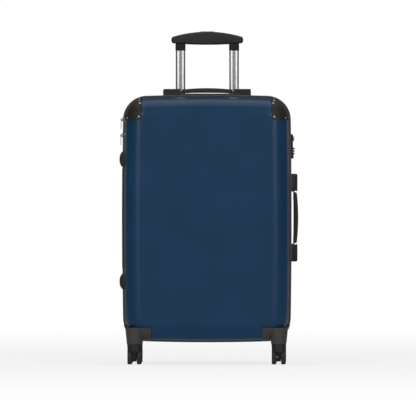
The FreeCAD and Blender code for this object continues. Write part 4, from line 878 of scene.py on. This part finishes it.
def numerals(height, shown):
    """The ten figures round a dial, with the shown one outermost: flat text wrapped on its drum.

    A figure's width becomes an angle about the pin, and its height runs along the pin."""
    points, faces = [], []
    for figure in range(10):
        curve = bpy.data.curves.new("figure", "FONT")
        curve.body, curve.size = str(figure), FIGURE_HIGH
        curve.align_x, curve.align_y, curve.resolution_u = "CENTER", "CENTER", 3
        holder = bpy.data.objects.new("figure", curve)
        flat = bpy.data.meshes.new_from_object(holder)
        found = np.empty(len(flat.vertices) * 3)
        flat.vertices.foreach_get("co", found)
        found = found.reshape(-1, 3)
        first = sum(len(p) for p in points)
        faces += [tuple(first + i for i in f.vertices) for f in flat.polygons]
        angle = found[:, 0] / DIAL_RADIUS + math.radians(36 * (figure - shown))
        off = DIAL_RADIUS + INK
        x, y = DIAL_X + off * np.cos(angle), LOCK_Y + off * np.sin(angle)
        points.append(np.stack([x, y, height + found[:, 1]], 1))
        bpy.data.objects.remove(holder)
        bpy.data.curves.remove(curve)
        bpy.data.meshes.remove(flat)
    return np.concatenate(points) * MM, faces


for i in range(3):
    height = DIAL_MID + (1 - i) * DIAL_PITCH
    drum = weld(mesh_piece(f"dial_{i + 1}_drum", *dial(height), dial_nylon), FINE, outward=True)
    drum.data.set_sharp_from_angle(angle=math.radians(40))
    settle(drum, f"dial_{i + 1}", f"lock_dial_{i + 1}")
    points, faces = numerals(height, 0)
    mesh = bpy.data.meshes.new(f"dial_{i + 1}_numerals")
    mesh.from_pydata(points.tolist(), [], faces)
    mesh.materials.append(ink)
    figures = bpy.data.objects.new(f"dial_{i + 1}_numerals", mesh)
    bpy.context.scene.collection.objects.link(figures)
    settle(figures, f"dial_{i + 1}", f"lock_dial_{i + 1}")

# A red enamelled ring round the key cylinder, glossy, stands 1.8 mm off the housing.
enamel, tree, shader, at = start("gloss_red_enamel", "#A3131B", 0.22, IOR=1.5, Coat_Weight=0.5)
pool = add(tree, "ShaderNodeTexNoise", {"Vector": at, "Scale": 1 / (1.5 * MM)})
tone = add(tree, "ShaderNodeValToRGB", {0: pool.outputs["Fac"]}, stops=[(0.3, "#930F17"), (0.7, "#B01820")])
tree.links.new(tone.outputs[0], shader.inputs["Base Color"])
KEY_Z, LOCK_FACE, RING_STEPS = 509.0, 211.2, 64
# the ring's section as (out of the wall, radius), turned about the key's axis
out, radius = np.array([(-0.4, 4.0), (1.5, 4.0), (1.8, 4.3), (1.8, 5.0), (1.5, 5.3), (-0.4, 5.3)]).T
theta = np.linspace(0, 2 * math.pi, RING_STEPS, endpoint=False)
x = np.broadcast_to(LOCK_FACE + out[:, None], (len(out), RING_STEPS))
y, z = LOCK_Y + radius[:, None] * np.cos(theta), KEY_Z + radius[:, None] * np.sin(theta)
faces = grid_faces(len(out), RING_STEPS, close_rows=True, close_columns=True)
mark = mesh_piece("red_key_ring", np.stack([x, y, z], -1).reshape(-1, 3), faces, enamel)
weld(mark, FINE, outward=True)
mark.data.set_sharp_from_angle(angle=math.radians(50))
settle(mark, "rear_half", "lock_housing")

# ---------------------------------------------------------------- side feet
# Four domed pads of moulded rubber on the left side, screwed through the shells. The case rests on
# them when it is laid down. Their grain of 0.6 mm is drawn at 2.2 mm.

foot_rubber = pebbled("moulded_rubber_foot_black", "#22211F", "#312F2D", 2.2, 0.5, 0.12)
for side in ("front", "rear"):
    finished(f"side_feet_{side}", foot_rubber, round_off=0.5)

# ---------------------------------------------------------------- zip sliders and pulls
# Two sliders of die-cast zinc, nickel plated, that run on the coil. Each has a looped pull, which
# hangs from its bar and swings, and whose tip the lock takes.

for level in ("upper", "lower"):
    finished(f"zip_slider_{level}", nickel, round_off=0.25)
    finished(f"zip_pull_{level}", nickel, round_off=0.3)
